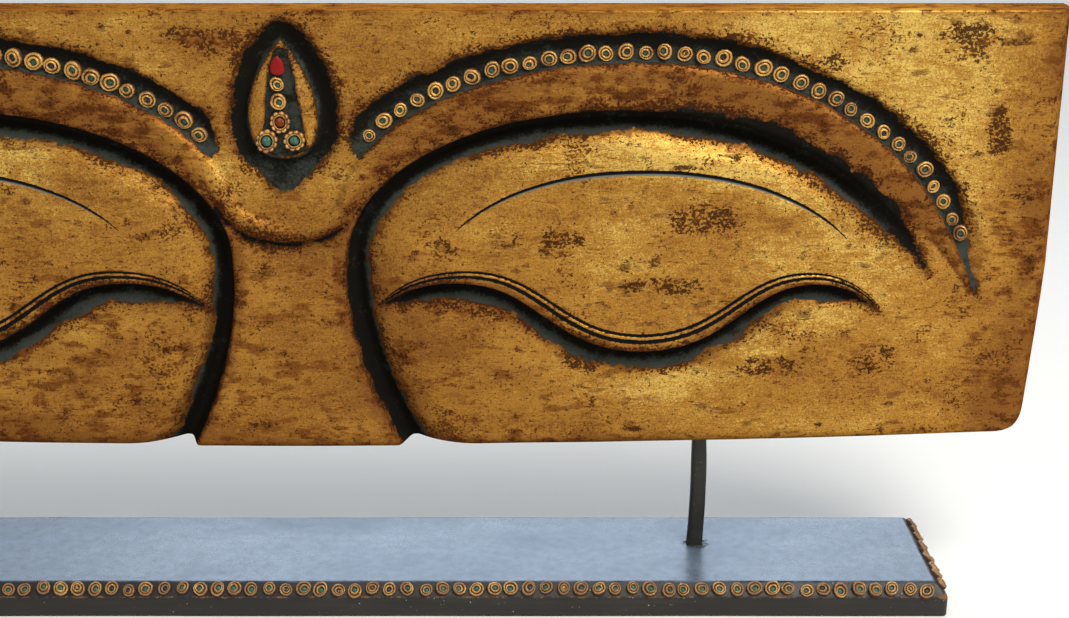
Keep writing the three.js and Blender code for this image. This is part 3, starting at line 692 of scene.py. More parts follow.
def paint_fields(told, x, z):
    uneven = 2.2 * waves(x, z, (90, 55, 34, 21), 5)
    parts = [part(told, uneven) for part in (socket_paint, channel_paint, lash_paint, drop_paint)]
    dark = np.maximum.reduce([depth for depth, _ in parts])
    # A thin broken dark line runs just under the brow roll by the bridge.
    under_roll = 1.1 - np.abs(told["under_roll"] - 1.4)
    dark = np.maximum(dark, np.where(told["brow_share"] < 0.09, under_roll, -20))
    grey_and_sheen = np.maximum.reduce([shade * (depth > -2) for depth, shade in parts])
    return {"dark": dark, "grey_and_sheen": np.clip(grey_and_sheen, 0, 1), "brown": thin_gold_and_painted_shade(told, x, z),
            "thick_gold_and_highlight": thick_gold_and_painted_highlight(told), "lash": told["lash"], "taper": told["lip"] / LIP,
            "crease": told["crease"], "crease_width": told["crease_width"],
            "chip": np.maximum(inside_marks(CHIPS, x, z), -2),
            "pitted": np.clip(inside_marks(PITTED, x, z) * 2, 0, 1)}


face_fields = paint_fields(face_told, face_x, face_z)
print("dark paint covers", round(float((face_fields["dark"] > 0).mean()), 2), "of the net")

# %% [markdown]
# ## The gold
#
# The gold is a bronze paint brushed over a dark red-brown ground and then rubbed, so it is
# brighter on what stands up, thin and brown in the hollows, and broken everywhere by pits and
# short dashes that follow the grain. Faces turned down and the lower left are also painted darker
# as shade, and the lid's slope, the cheek and the upper right lighter as a painted highlight.
# The shader builds it from the ground up: deep gold, bright gold, brown where it is worn or
# shaded, specks, and the dark paint of the cuts over all of it.

# %% Gold paint material
GOLD_DEEP = srgb(132, 86, 38)
GOLD = srgb(176, 126, 53)
GOLD_BRIGHT = srgb(226, 190, 98)
GROUND = srgb(112, 62, 26)
GROUND_DARK = srgb(62, 34, 18)
CUT_BLACK = srgb(24, 23, 19)
CUT_GREY_AND_SHEEN = srgb(60, 64, 58)
CREASE_GLINT_GREY = srgb(108, 110, 104)
BACK_STAIN = srgb(66, 42, 26)


def thin_line(distance, half_width):
    """Inside a line where its half width exceeds the distance from it, in millimetres."""
    return half_width - distance.math("ABSOLUTE", distance)


def gold_paint():
    material, shader, place = new_material("gold_paint", IOR=1.45, Specular_IOR_Level=0.0,
                                           Specular_Tint=srgb(200, 150, 80))
    dark, grey_and_sheen, brown, thick_gold_and_highlight, lash, taper, crease, crease_width, chip, pitted = (
        place.attribute(name) for name in ("dark", "grey_and_sheen", "brown", "thick_gold_and_highlight", "lash", "taper",
                                           "crease", "crease_width", "chip", "pitted"))

    grain = place.stretched(0.12, 1, 1).noise(1.3, 3, 0.6)
    mottle = place.stretched(0.7, 1, 1).noise(9, 5, 0.65)
    cloud = place.shifted(3).stretched(0.6, 1, 1).noise(45, 4, 0.6)
    stipple = place.shifted(5).stretched(0.85, 1, 1).noise(1.7, 2, 0.55)
    fine = place.shifted(13).stretched(0.8, 1, 1).noise(1.0, 2, 0.6)
    patch = place.shifted(9).stretched(0.7, 1, 1).noise(30, 4, 0.7)
    streak = place.shifted(11).stretched(0.25, 1, 1).noise(6, 4, 0.65)

    ragged = (mottle - 0.5) * 9 + (stipple - 0.5) * 4 + (patch - 0.5) * 6
    halo = (dark + ragged * 0.6).ramp(-9.5, 0.5)
    uneven = (mottle * 0.6 + streak * 0.4 + (fine - 0.5) * 0.3).ramp(0.38, 0.62)
    # The brown field is thin gold and painted shade, so this darkening is partly painted shade.
    stain_and_painted_shade = brown * (uneven * 0.9 + 0.1)
    tone = (grain - 0.5) * 0.4 + (mottle - 0.5) * 1.1 + (cloud - 0.5) * 1.1 + (streak - 0.5) * 0.8
    # The tone is lighter where the gold is thick and where a highlight is painted.
    tone = tone + 0.53 + (fine - 0.5) * 1.4 + thick_gold_and_highlight * 0.4 - stain_and_painted_shade * 0.85 - halo * (1 - thick_gold_and_highlight) * 0.2
    gold = tone.ramp(0.1, 0.55).blend(GOLD_DEEP, GOLD)
    gold = tone.ramp(0.5, 1.0).blend(gold, GOLD_BRIGHT)
    thin = (streak + (mottle - 0.5) * 0.8 + stain_and_painted_shade * 0.2 + halo * 0.07).ramp(0.56, 0.72)
    gold = (thin * 0.75).blend(gold, GROUND)
    soot_and_painted_shade = stain_and_painted_shade.ramp(0.3, 0.9) * (mottle + (streak - 0.5) * 0.8 + (fine - 0.5) * 0.5).ramp(0.46, 0.66)
    gold = (soot_and_painted_shade * 0.6).blend(gold, GROUND_DARK)

    worn = (pitted + (mottle - 0.5) * 2.8 + (patch - 0.5) * 1.4).ramp(0.3, 1.3)
    density = worn * 1.3 + patch.ramp(0.52, 0.68) * 0.8 + stain_and_painted_shade * 0.5 + 0.24
    density = (density + halo * patch.ramp(0.36, 0.58) * 1.1).at_most(1.4)
    pits = (fine * 0.35 + stipple * 0.65 + density * 0.13).ramp(0.64, 0.66)
    dabs = (mottle + (fine - 0.5) * 0.6 + density * 0.05).ramp(0.68, 0.7)
    dashes = place.shifted(7).stretched(0.16, 1, 1).noise(1.4, 2, 0.5)
    dashes = (dashes + density * 0.08).ramp(0.69, 0.73)
    rim = (dark + ragged + (fine - 0.5) * 9).ramp(-2.8, -1.2) * patch.ramp(0.36, 0.5)
    chipped = (chip + (fine - 0.5) * 2.2 + (mottle - 0.5) * 2.0).ramp(0.0, 0.35)
    bare = (pits * 0.95).at_least(dabs * 0.85).at_least(dashes * 0.85).at_least(rim * 0.85)
    bare = bare.at_least(chipped * 0.95)
    ground = mottle + (halo - 0.2) * 0.3 + (stipple - 0.5) * 0.6 + chipped * 0.2 + worn * 0.12
    ground = ground.ramp(0.35, 0.65)
    colour = bare.blend(gold, ground.blend(GROUND, GROUND_DARK))

    covered = (dark + ragged).ramp(-0.3, 0.6)
    # The grey in the cuts is partly dry brushing and partly a painted sheen.
    black = (grey_and_sheen + (mottle - 0.5) * 2.2 + (stipple - 0.5) * 0.9 + (fine - 0.5) * 0.9).ramp(0.1, 1.2)
    colour = covered.blend(colour, black.blend(CUT_BLACK, CUT_GREY_AND_SHEEN))
    upper = thin_line(lash, taper * 1.0 + 0.1)
    lower = thin_line(lash + taper * (0.32 * LIP), taper * 1.5 + 0.1)
    both = upper.at_least(lower) - (1 - taper.ramp(0.03, 0.12)) * 3
    scratched = both.at_least(thin_line(crease, crease_width * 1.7))
    scratched = (scratched + (stipple - 0.5) * 1.2).ramp(-0.1, 0.25)
    # A pale grey along the crease's lower edge is a painted glint.
    lower_lip_glint = (-crease).ramp(0.3, 1.2) * (1 - crease.math("ABSOLUTE", crease).ramp(3, 4))
    colour = scratched.blend(colour, lower_lip_glint.blend(CUT_BLACK, CREASE_GLINT_GREY))

    depth = place.node("ShaderNodeSeparateXYZ", None, {"Vector": place}, output="Y")
    behind = depth * 1000 + (mottle - 0.5) * 8 + (grain - 0.5) * 6
    behind = behind.ramp(PANEL_BACK - 3.2, PANEL_BACK - 1.2)
    stain = (grain * 0.8 + cloud * 0.4).ramp(0.4, 0.8).blend(GROUND_DARK, BACK_STAIN)
    colour = behind.blend(colour, stain)

    dull = covered.at_least(scratched).at_least(behind)
    metallic = 0.55 - dull * 0.55 - bare * 0.3 - stain_and_painted_shade * 0.4
    roughness = 0.46 + (grain - 0.5) * 0.1 + (mottle - 0.5) * 0.25 + dull * 0.1 + bare * 0.15
    height = grain * 0.2 + mottle * 0.5 + fine * 0.1 - bare * 0.25
    feed(shader, place, colour, roughness, height, 0.3, metallic)
    return material


# %% [markdown]
# ## The panel
#
# The front net, the four edges and the back are one closed skin. The back is plain and flat,
# as such boards are left, and stained dark.

# %% Panel
def panel_skin():
    """Front net, then two loops along the edge to a small bevel, then a fan over the back."""
    front = np.stack([face_x, PANEL_BACK - face_level, PANEL_BOTTOM + face_z], axis=-1)
    front = front.transpose(1, 0, 2)
    rows, columns = front.shape[:2]
    index = np.arange(rows * columns).reshape(rows, columns)
    rim = np.concatenate([index[0], index[1:, -1], index[-1, -2::-1], index[-2:0:-1, 0]])
    outline = front.reshape(-1, 3)[rim]
    wall = outline.copy()
    wall[:, 1] = PANEL_BACK - 1.2
    middle = np.array([0, PANEL_BACK, PANEL_BOTTOM + HEIGHT / 2])
    edge = middle + (wall - middle) * (1 - 1.2 / (LENGTH / 2), 0, 1 - 1.2 / (HEIGHT / 2))
    points = np.concatenate([front.reshape(-1, 3), wall, edge, middle[None]])

    size, around = rows * columns, len(rim)
    loops = np.stack([rim, size + np.arange(around), size + around + np.arange(around)])
    loops = np.hstack([loops, loops[:, :1]])
    sides = np.stack([loops[:-1, :-1], loops[1:, :-1], loops[1:, 1:], loops[:-1, 1:]], -1)
    cap = np.stack([loops[2, :-1], np.full(around, len(points) - 1), loops[2, 1:]], axis=-1)
    faces = [*grid_faces(rows, columns), *sides.reshape(-1, 4), *cap]
    smooth = np.arange(len(faces)) < len(faces) - len(cap)
    off_face = {"dark": -20, "grey_and_sheen": 0, "brown": 1, "thick_gold_and_highlight": 0, "lash": 50, "taper": 0,
                "crease": 50, "crease_width": 0, "chip": -2, "pitted": 0}
    fields = {
        name: np.concatenate([values.T.ravel(), np.full(2 * around + 1, off_face[name])])
        for name, values in face_fields.items()
    }
    on_top = points[size:, 2] > PANEL_BOTTOM + HEIGHT - 2
    fields["brown"][size:] = np.where(on_top, 0.3, 1)
    return points, faces, smooth, fields


gold = gold_paint()
points, faces, smooth, fields = panel_skin()
panel = make_piece("carved_panel", points, faces, gold, ("panel",), smooth, fields)

# %% [markdown]
# ## The ringlets
#
# Each ringlet is a thread of paste coiled one and a half times and pressed down round a drop of
# green glass, so it shows an outer coil, a groove and a smaller coil set off its middle. One
# formula makes them all: a profile of two ridges is carried round, its radius shrinking by a
# tenth on the way, which leaves the little step where the thread ends. Every ringlet has its
# own size, turn and tilt. There are well over a hundred, so each has only a few dozen faces.

# %% Shapes of the ringlets
RIDGES = np.array([(1.0, -0.15), (0.98, 0.5), (0.86, 0.95), (0.73, 0.8), (0.66, 0.1), (0.59, 0.85),
                   (0.46, 1.05), (0.33, 0.4)])
DOME = np.array([(0.38, 0.2), (0.3, 0.42), (0.14, 0.52)])
RING_STEPS = 12


def set_on(seats, local):
    """Places local points (across, along, up) of each piece on its seat's three directions."""
    frames = np.stack([seats["across"], seats["along"], seats["facing"]], axis=1)
    return seats["centre"][:, None, None, :] + np.einsum("krsi,kij->krsj", local, frames)


def revolved(seats, profile, steps, spiral=0.0, shift=0.0):
    """Profile (r, h) turned on each seat: r (1 - spiral * turn), inner rows moved by shift."""
    turn = np.arange(steps) / steps
    angle = 2 * np.pi * turn + seats["turn"][:, None]
    count = len(seats["turn"])
    radius = profile[None, :, :1] * (1 - spiral * turn) * seats["radius"][:, None, None]
    radius = radius * (1 + 0.05 * np.sin(2 * angle + 9 * seats["turn"][:, None]))[:, None]
    inner = np.clip((0.75 - profile[:, 0]) / 0.2, 0, 1)[None, :, None] * shift
    x = radius * np.cos(angle)[:, None] + inner * seats["shift"][:, :1, None]
    y = radius * np.sin(angle)[:, None] + inner * seats["shift"][:, 1:, None]
    wobble = 1 + 0.14 * np.sin(3 * angle + 5 * seats["turn"][:, None])
    z = profile[None, :, 1:] * wobble[:, None] * seats["height"][:, None, None]
    local = np.stack([x, y, np.broadcast_to(z, x.shape)], axis=-1)
    return set_on(seats, local).reshape(count, -1, 3)


def repeated(points, faces):
    """Joins equal pieces into one table of points and one of faces."""
    count, size = points.shape[:2]
    offsets = (np.arange(count) * size)[:, None, None]
    return points.reshape(-1, 3), (faces[None] + offsets).reshape(-1, faces.shape[1])


def make_seats(centre, along, facing, radius, height=None):
    """Seats with a shared direction of facing, each turned, tilted and sized by chance."""
    count = len(centre)
    tilt = rng.normal(0, 0.1, (count, 3)).clip(-0.2, 0.2)
    facing = np.broadcast_to(facing, (count, 3)) + tilt
    facing = facing / np.linalg.norm(facing, axis=1, keepdims=True)
    along = np.broadcast_to(along, (count, 3))
    across = np.cross(along, facing)
    across = across / np.linalg.norm(across, axis=1, keepdims=True)
    along = np.cross(facing, across)
    size = np.asarray(radius)
    shift = rng.normal(0, 0.1, (count, 2)).clip(-0.15, 0.15) * size[:, None]
    return {"centre": centre, "along": along, "across": across, "facing": facing, "radius": size,
            "height": size * 0.55 if height is None else height, "shift": shift,
            "turn": rng.uniform(0, 2 * np.pi, count), "tint": rng.uniform(0, 1, count)}


def brow_seats(side):
    """Along the brow at even shares, outside its roll, on the floor of the channel."""
    count = 36
    share = np.linspace(0.165, 0.93, count) + rng.normal(0, 0.0009, count)
    step = np.diff(BROW, axis=0)
    length = np.linalg.norm(step, axis=1)
    run = np.concatenate([[0], np.cumsum(length)]) / length.sum()
    place = np.stack([np.interp(share, run, BROW[:, i]) for i in (0, 1)], axis=1)
    middle = (run[1:] + run[:-1]) / 2
    direction = np.stack([np.interp(share, middle, step[:, i] / length) for i in (0, 1)], axis=1)
    direction = direction / np.linalg.norm(direction, axis=1, keepdims=True)
    radius = 5.1 + 0.75 * np.sin(np.pi * share) + rng.uniform(-0.85, 0.6, count)
    radius = radius + (0.6 if side < 0 else 0) * smooth_step(0.6, 0.4, share)
    beyond = brow_half_width(share) + radius * 0.94 + 0.3 + rng.normal(0, 0.35, count)
    place = place + beyond[:, None] * np.stack([-direction[:, 1], direction[:, 0]], axis=1)
    x = side * place[:, 0]
    level = relief(x, place[:, 1])[0] - 0.4
    centre = np.stack([x, PANEL_BACK - level, PANEL_BOTTOM + place[:, 1]], axis=1)
    along = np.stack([side * direction[:, 0], np.zeros(count), direction[:, 1]], axis=1)
    return make_seats(centre, along, (0, -1, 0), radius)


base_low, base_high = (np.array(corner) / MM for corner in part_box("base"))
CHAMFER = 8.0
RING_PITCH = 11.75


def base_seats(count, along, outward, start, distance):
    """A straight row on the middle of one chamfer, which faces half outward and half up."""
    place = start + RING_PITCH * np.arange(count) + rng.normal(0, 0.5, count)
    middle = np.array(outward) * (distance - CHAMFER / 2) + (0, 0, base_high[2] - CHAMFER / 2)
    centre = middle + place[:, None] * np.array(along)
    facing = np.array(outward) + (0, 0, 1)
    centre = centre + rng.normal(0, 0.45, count)[:, None] * (np.array(outward) - (0, 0, 1))
    return make_seats(centre, along, facing / np.sqrt(2), 5.25 + rng.uniform(-0.55, 0.5, count))


front_count, end_count = 74, 9
near_end = base_low[1] + 12
ring_rows = {
    "brow_rings_right": brow_seats(1),
    "brow_rings_left": brow_seats(-1),
    "base_rings_front": base_seats(front_count, (1, 0, 0), (0, -1, 0),
                                   -RING_PITCH * (front_count - 1) / 2, base_high[1]),
    "base_rings_right": base_seats(end_count, (0, 1, 0), (1, 0, 0), near_end, base_high[0]),
    "base_rings_left": base_seats(end_count, (0, 1, 0), (-1, 0, 0), near_end, base_high[0]),
}
print("ringlets:", sum(len(seats["radius"]) for seats in ring_rows.values()))

# %% [markdown]
# ## Paste and glass
#
# The paste is gilded with the same gold, and its grooves are painted dark as shade, so the shader
# needs to know how high on its ridge each point lies. The glass is green in most ringlets, darker
# or bluish in some, and smeared with gold in a few.

# %% Materials of the ringlets
PASTE_GOLD = srgb(210, 162, 86)
PASTE_BROWN = srgb(126, 82, 40)
PASTE_DUSTY = srgb(158, 138, 102)
GLASS_GREEN = srgb(62, 106, 88)
GLASS_DARK = srgb(54, 62, 64)


def paste_paint():
    material, shader, place = new_material("ringlet_paste", IOR=1.45, Specular_IOR_Level=0.5)
    ridge, dull = place.attribute("ridge"), place.attribute("dull")
    fine = place.noise(1.2, 3, 0.65)
    broad = place.noise(14, 2, 0.5)
    gilt = (ridge + (fine - 0.5) * 1.6 + (broad - 0.5) * 1.8 - dull * 0.3).ramp(0.46, 1.0)
    colour = gilt.blend(PASTE_BROWN, PASTE_GOLD)
    # The grooves and the hole are darkened as painted shade.
    crevice_shade = 1 - (ridge + (fine - 0.5) * 0.7 - dull * 0.14).ramp(0.28, 0.62)
    colour = (dull * 0.3 * (1 - crevice_shade)).blend(colour, PASTE_DUSTY)
    colour = crevice_shade.blend(colour, GROUND_DARK)
    feed(shader, place, colour, 0.32 + crevice_shade * 0.35 + fine * 0.1, fine, 0.3, gilt * 0.45)
    return material


def glass_drop(name, colour, dark, tinted=True):
    material, shader, place = new_material(name, IOR=1.45, Specular_IOR_Level=0.25)
    smear = place.noise(1.6, 3, 0.6)
    tint = place.attribute("tint") if tinted else smear
    body = tint.ramp(0.62, 0.78).blend(colour, dark)
    gilt = (smear + (tint - 0.9) * 1.6).ramp(0.62, 0.7)
    shade = gilt.blend(body, PASTE_GOLD)
    feed(shader, place, shade, 0.28 + smear * 0.2, smear, 0.1)
    return material


paste = paste_paint()
green_glass = glass_drop("green_glass", GLASS_GREEN, GLASS_DARK)
ridge_rows = np.clip(RIDGES[:, 1], 0, 1)

for name, seats in ring_rows.items():
    ring_points = revolved(seats, RIDGES, RING_STEPS, spiral=0.1, shift=1.0)
    points, faces = repeated(ring_points, grid_faces(len(RIDGES), RING_STEPS, around=True))
    ridge = np.tile(np.repeat(ridge_rows, RING_STEPS), len(seats["turn"]))
    dull = np.full(len(ridge), float(name.startswith("base")))
    make_piece(name + "_coils", points, faces, paste, (name,),
               fields={"ridge": ridge, "dull": dull})

    dome_steps = 8
    stone_points = revolved(seats, DOME, dome_steps, shift=1.0)
    sides = grid_faces(len(DOME), dome_steps, around=True)
    points, faces = repeated(stone_points, sides)
    tops = np.arange(dome_steps) + (len(DOME) - 1) * dome_steps
    _, tops = repeated(stone_points, tops[None])
    tint = np.repeat(seats["tint"], stone_points.shape[1])
    faces = [*faces.tolist(), *tops.tolist()]
    make_piece(name + "_glass", points, faces, green_glass, fields={"tint": tint})

# %% [markdown]
# ## What is set in the drop
#
# The drop's bed holds a red pointed stone, two small ringlets and three collars with round
# stones. A collar is a ring of pressed metal with about ten beads. It could be ten separate
# beads, but one profile turned round, whose height and width rise and fall ten times on the way,
# gives the same look with few faces and stays one closed piece.

# %% Ornaments of the drop
def seat_at(node, centred=False):
    """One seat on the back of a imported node's box, facing forward and turned by chance."""
    low, high = (np.array(corner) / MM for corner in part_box(node))
    middle = (low + high) / 2
    radius, height = (high[2] - low[2]) / 2, high[1] - low[1]
    off_middle = np.array([[0.0, 0.0]]) if centred else np.array([[0.12, -0.1]]) * radius
    seat = {"centre": np.array([[middle[0], high[1], middle[2]]]), "facing": np.array([[0, -1.0, 0]]),
            "across": np.array([[1.0, 0, 0]]), "along": np.array([[0, 0, 1.0]])}
    seat.update(radius=np.array([radius]), height=np.array([height]), tint=np.array([0.3]),
                shift=off_middle, turn=rng.uniform(0, 6, 1))
    return seat


COLLAR = np.array([(1.0, 0.0), (1.0, 0.45), (0.94, 0.85), (0.84, 1.0), (0.74, 0.7), (0.68, 0.5),
                   (0.62, 0.85), (0.56, 0.7), (0.54, 0.05)])
BEADS = 10


def beaded_collar(seat, steps=80):
    """The profile turned once. Beads: outer radius and height times 1 + 0.1 cos(10 a)."""
    points = revolved(seat, COLLAR, steps)[0].reshape(len(COLLAR), steps, 3)
    angle = 2 * np.pi * np.arange(steps) / steps
    bead = np.abs(np.cos(BEADS / 2 * angle)) ** 0.7
    outer = smooth_step(0.7, 0.8, COLLAR[:, :1])
    level = seat["centre"][0, 1] - points[..., 1]
    points[..., 1] += level * outer * 0.45 * (1 - bead)
    middle = seat["centre"][0] * (1, 0, 1)
    flat = (points * (1, 0, 1) - middle) * (outer * 0.07 * (bead - 0.7))[..., None]
    ridge = np.clip(COLLAR[:, 1:] - outer * 0.6 * (1 - bead), 0, 1)
    return (points + flat).reshape(-1, 3), ridge.ravel()


def cabochon(seat, rows=8, steps=28):
    """A dome r cos(p) wide and r sin(p) high, closed by one point at the top."""
    rise = np.linspace(0, np.pi / 2, rows + 1)[:-1]
    profile = np.stack([np.cos(rise), np.sin(rise)], axis=1)
    points = revolved(seat, profile, steps)[0]
    top = seat["centre"] + seat["facing"] * seat["height"]
    sides = grid_faces(rows, steps, around=True).tolist()
    last = (rows - 1) * steps + np.arange(steps)
    cap = np.stack([last, np.roll(last, -1), np.full(steps, rows * steps)], axis=1)
    return np.concatenate([points, top]), [*sides, *cap.tolist()]


def pointed_stone(low, high, rows=7, steps=48):
    """A drop outline x = sin a |sin(a/2)|^0.7, z = cos a, pointed upwards, with a rounded edge."""
    angle = 2 * np.pi * (np.arange(steps) + 0.5) / steps
    across = -np.sin(angle) * np.abs(np.sin(angle / 2)) ** 0.7
    up = np.where(np.cos(angle) < 0, -np.abs(np.cos(angle)) ** 0.7, np.cos(angle))
    outline = np.stack([across, up], axis=1)
    outline = (outline - outline.min(axis=0)) / np.ptp(outline, axis=0) - 0.5
    rise = np.linspace(0, 1, rows)
    scale = np.concatenate([[1, 1], 1 - 0.9 * rise[1:] ** 1.6])
    height = np.concatenate([[0, 0.55], 0.55 + 0.45 * np.sin(np.pi / 2 * rise[1:])])
    x = (low[0] + high[0]) / 2 + scale[:, None] * outline[:, 0] * (high[0] - low[0])
    z = (low[2] + high[2]) / 2 + scale[:, None] * outline[:, 1] * (high[2] - low[2])
    y = high[1] - height[:, None] * (high[1] - low[1]) * np.ones(steps)
    points = np.stack([x, y, z], axis=-1).reshape(-1, 3)
    faces = grid_faces(len(scale), steps, around=True).tolist()
    last = (len(scale) - 1) * steps + np.arange(steps)
    return points, [*faces, last.tolist()]


brown_glass = glass_drop("brown_glass", srgb(118, 52, 16), srgb(70, 30, 12), tinted=False)
red_glass = glass_drop("red_glass", srgb(136, 12, 8), srgb(104, 8, 8), tinted=False)
collar_faces = grid_faces(len(COLLAR), 80, around=True)

for name, slot, glass in (("brown", "brown_stone", brown_glass),
                          ("green_left", "green_stone", green_glass),
                          ("green_right", "green_stone", green_glass)):
    collar_node, stone_node = "drop_collar_" + name, "drop_stone_" + name
    points, ridge = beaded_collar(seat_at(collar_node))
    make_piece(collar_node + "_beads", points, collar_faces, paste,
               (collar_node,), fields={"ridge": ridge, "dull": np.zeros(len(ridge))})
    points, faces = cabochon(seat_at(stone_node, centred=True))
    fields = {"tint": np.full(len(points), 0.3)}
    make_piece(stone_node + "_dome", points, faces, glass, (stone_node,), fields=fields)

fine_steps = 36
for node in ("drop_ringlet_upper", "drop_ringlet_lower"):
    seat = seat_at(node)
    faces = grid_faces(len(RIDGES), fine_steps, around=True)
    ridge = np.repeat(ridge_rows, fine_steps)
    make_piece(node + "_coil", revolved(seat, RIDGES, fine_steps, 0.1, 1)[0], faces, paste,
               (node,), fields={"ridge": ridge, "dull": np.zeros(len(ridge))})
    seat["centre"] = seat["centre"] + seat["shift"] @ np.array([[1, 0, 0], [0, 0, 1]])
    seat.update(radius=seat["radius"] * 0.4, height=seat["height"] * 0.75)
    points, faces = cabochon(seat, 4, 16)
    fields = {"tint": np.full(len(points), 0.3)}
    make_piece(node + "_glass", points, faces, green_glass, fields=fields)

red_low, red_high = (np.array(corner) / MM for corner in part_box("drop_red_stone"))
points, faces = pointed_stone(red_low, red_high)
make_piece("red_drop", points, faces, red_glass, ("drop_red_stone",))

# %% [markdown]
# ## The base and the posts
#
# The base is a sawn board planed and sanded by hand, so its edges are a little soft and not
# quite straight. One profile, from the underside over the side and the chamfer to the top, is
# carried round a rectangle with rounded corners. The posts are whittled square sticks, thinner
# upwards and slightly bent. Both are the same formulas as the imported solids, with softer edges.

# %% Base board
POST_PLACE = 276.8
BASE_PROFILE = np.array([(1.2, 0), (0.35, 0.35), (0, 1.2), (0, 7), (0, 13.3), (0.3, 14.3), (1.0, 15.3),
                         (4.2, 18.6), (7.0, 21.5), (7.9, 22.2), (9.2, 22.5)])


def rounded_rectangle(half_x, half_y, corner, counts=(20, 128)):
    """Points round the outline with their outward directions, the same number for every size."""
    sides = []
    for turn in range(4):
        along, across = (half_y, half_x) if turn % 2 == 0 else (half_x, half_y)
        count = counts[turn % 2]
        run = np.linspace(-(along - corner), along - corner, count)
        straight = np.stack([np.full(count, across), run], axis=1)
        angle = np.linspace(0, np.pi / 2, 6)[1:-1]
        arc = np.stack([np.cos(angle), np.sin(angle)], axis=1)
        bend = arc * corner + (across - corner, along - corner)
        place = np.concatenate([straight, bend])
        outward = np.concatenate([np.broadcast_to((1.0, 0.0), (count, 2)), arc])
        cos, sin = (1, 0, -1, 0)[turn], (0, 1, 0, -1)[turn]
        spin = np.array([(cos, sin), (-sin, cos)])
        sides.append(np.hstack([place @ spin, outward @ spin]))
    return np.concatenate(sides).reshape(-1, 2, 2)


def base_board():
    """Each profile row is the outline of a rectangle smaller by its inset, at its height."""
    rows = np.stack([rounded_rectangle(base_high[0] - inset, base_high[1] - inset, max(3.5 - inset, 0.9))
                     for inset in BASE_PROFILE[:, 0]])
    outline, outward = rows[0, :, 0], rows[0, :, 1]
    uneven = 0.25 * (1 + waves(outline[:, 0], outline[:, 1] * 3, (160, 90, 47), 21))
    flat = rows[:, :, 0] - uneven[:, None] * outward
    around = len(outline)
    level = BASE_PROFILE[:, 1, None] * np.ones(around)
    edge = (BASE_PROFILE[:, 1, None] > 12) * (BASE_PROFILE[:, 1, None] < 22.4)
    level = level + 0.22 * edge * waves(outline[:, 0], outline[:, 1], (75, 41, 19), 22)
    points = np.concatenate([flat, level[..., None]], axis=-1).reshape(-1, 3)
    faces = grid_faces(len(rows), around, around=True)
    first = np.arange(around)
    last = first + (len(rows) - 1) * around
    bottom = np.stack([np.roll(first, -1), first, np.full(around, len(points))], axis=1)
    top = np.stack([last, np.roll(last, -1), np.full(around, len(points) + 1)], axis=1)
    smooth = np.arange(len(faces) + 2 * around) < len(faces)
    middles = [(0, 0, 0), (0, 0, base_high[2])]
    return np.concatenate([points, middles]), [*faces, *bottom, *top], smooth


def post_bar(sign, steps=26, around=20):
    """A rounded square of width w(t), moved sideways by 1.6 sin(pi t) - 1.3 (1 - t), carried up."""
    low, high = (np.array(corner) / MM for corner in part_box(f"post_{'right' if sign > 0 else 'left'}"))
    t = np.linspace(0, 1, steps)[:, None]
    angle = 2 * np.pi * np.arange(around) / around
    square = (np.abs(np.cos(angle)) ** 5 + np.abs(np.sin(angle)) ** 5) ** (-1 / 5)
    width = 11.4 + (9.8 - 11.4) * t + 0.18 * np.sin(9 * t + 2) + 0.12 * np.sin(21 * t)
    radius = width / 2 * square * (1 + 0.012 * np.sin(2 * angle + 5 * t))
    x = sign * (POST_PLACE + 1.6 * np.sin(np.pi * t) - 1.3 * (1 - t)) + radius * np.cos(angle)
    y = 8 + radius * np.sin(angle)
    z = low[2] + (high[2] - low[2]) * t * np.ones(around)
    points = np.stack([x, y, z], axis=-1).reshape(-1, 3)
    faces = grid_faces(steps, around, around=True).tolist()
    ends = [np.arange(around)[::-1].tolist(), (np.arange(around) + (steps - 1) * around).tolist()]
    return points, faces + ends


# %% [markdown]
# ## Black paint
#
# The stand is painted black and half glossy, so its top shows little of its own colour and
# mostly mirrors the pale sky, a bit blurred. Its top also gets a bluish grey colour, partly dust
# and partly a painted sky reflection. The brush left faint lengthwise marks. The paint is
# rubbed through to brown along the edges and cracked round the posts' feet.

# %% Black paint material
PAINT_BLACK = srgb(20, 20, 17)
PAINT_DUSTY = srgb(38, 38, 33)
TOP_DUST_AND_SKY_SHEEN = srgb(90, 104, 122)
WOOD_RUBBED = srgb(124, 84, 50)
CHIP_PALE = srgb(196, 190, 178)


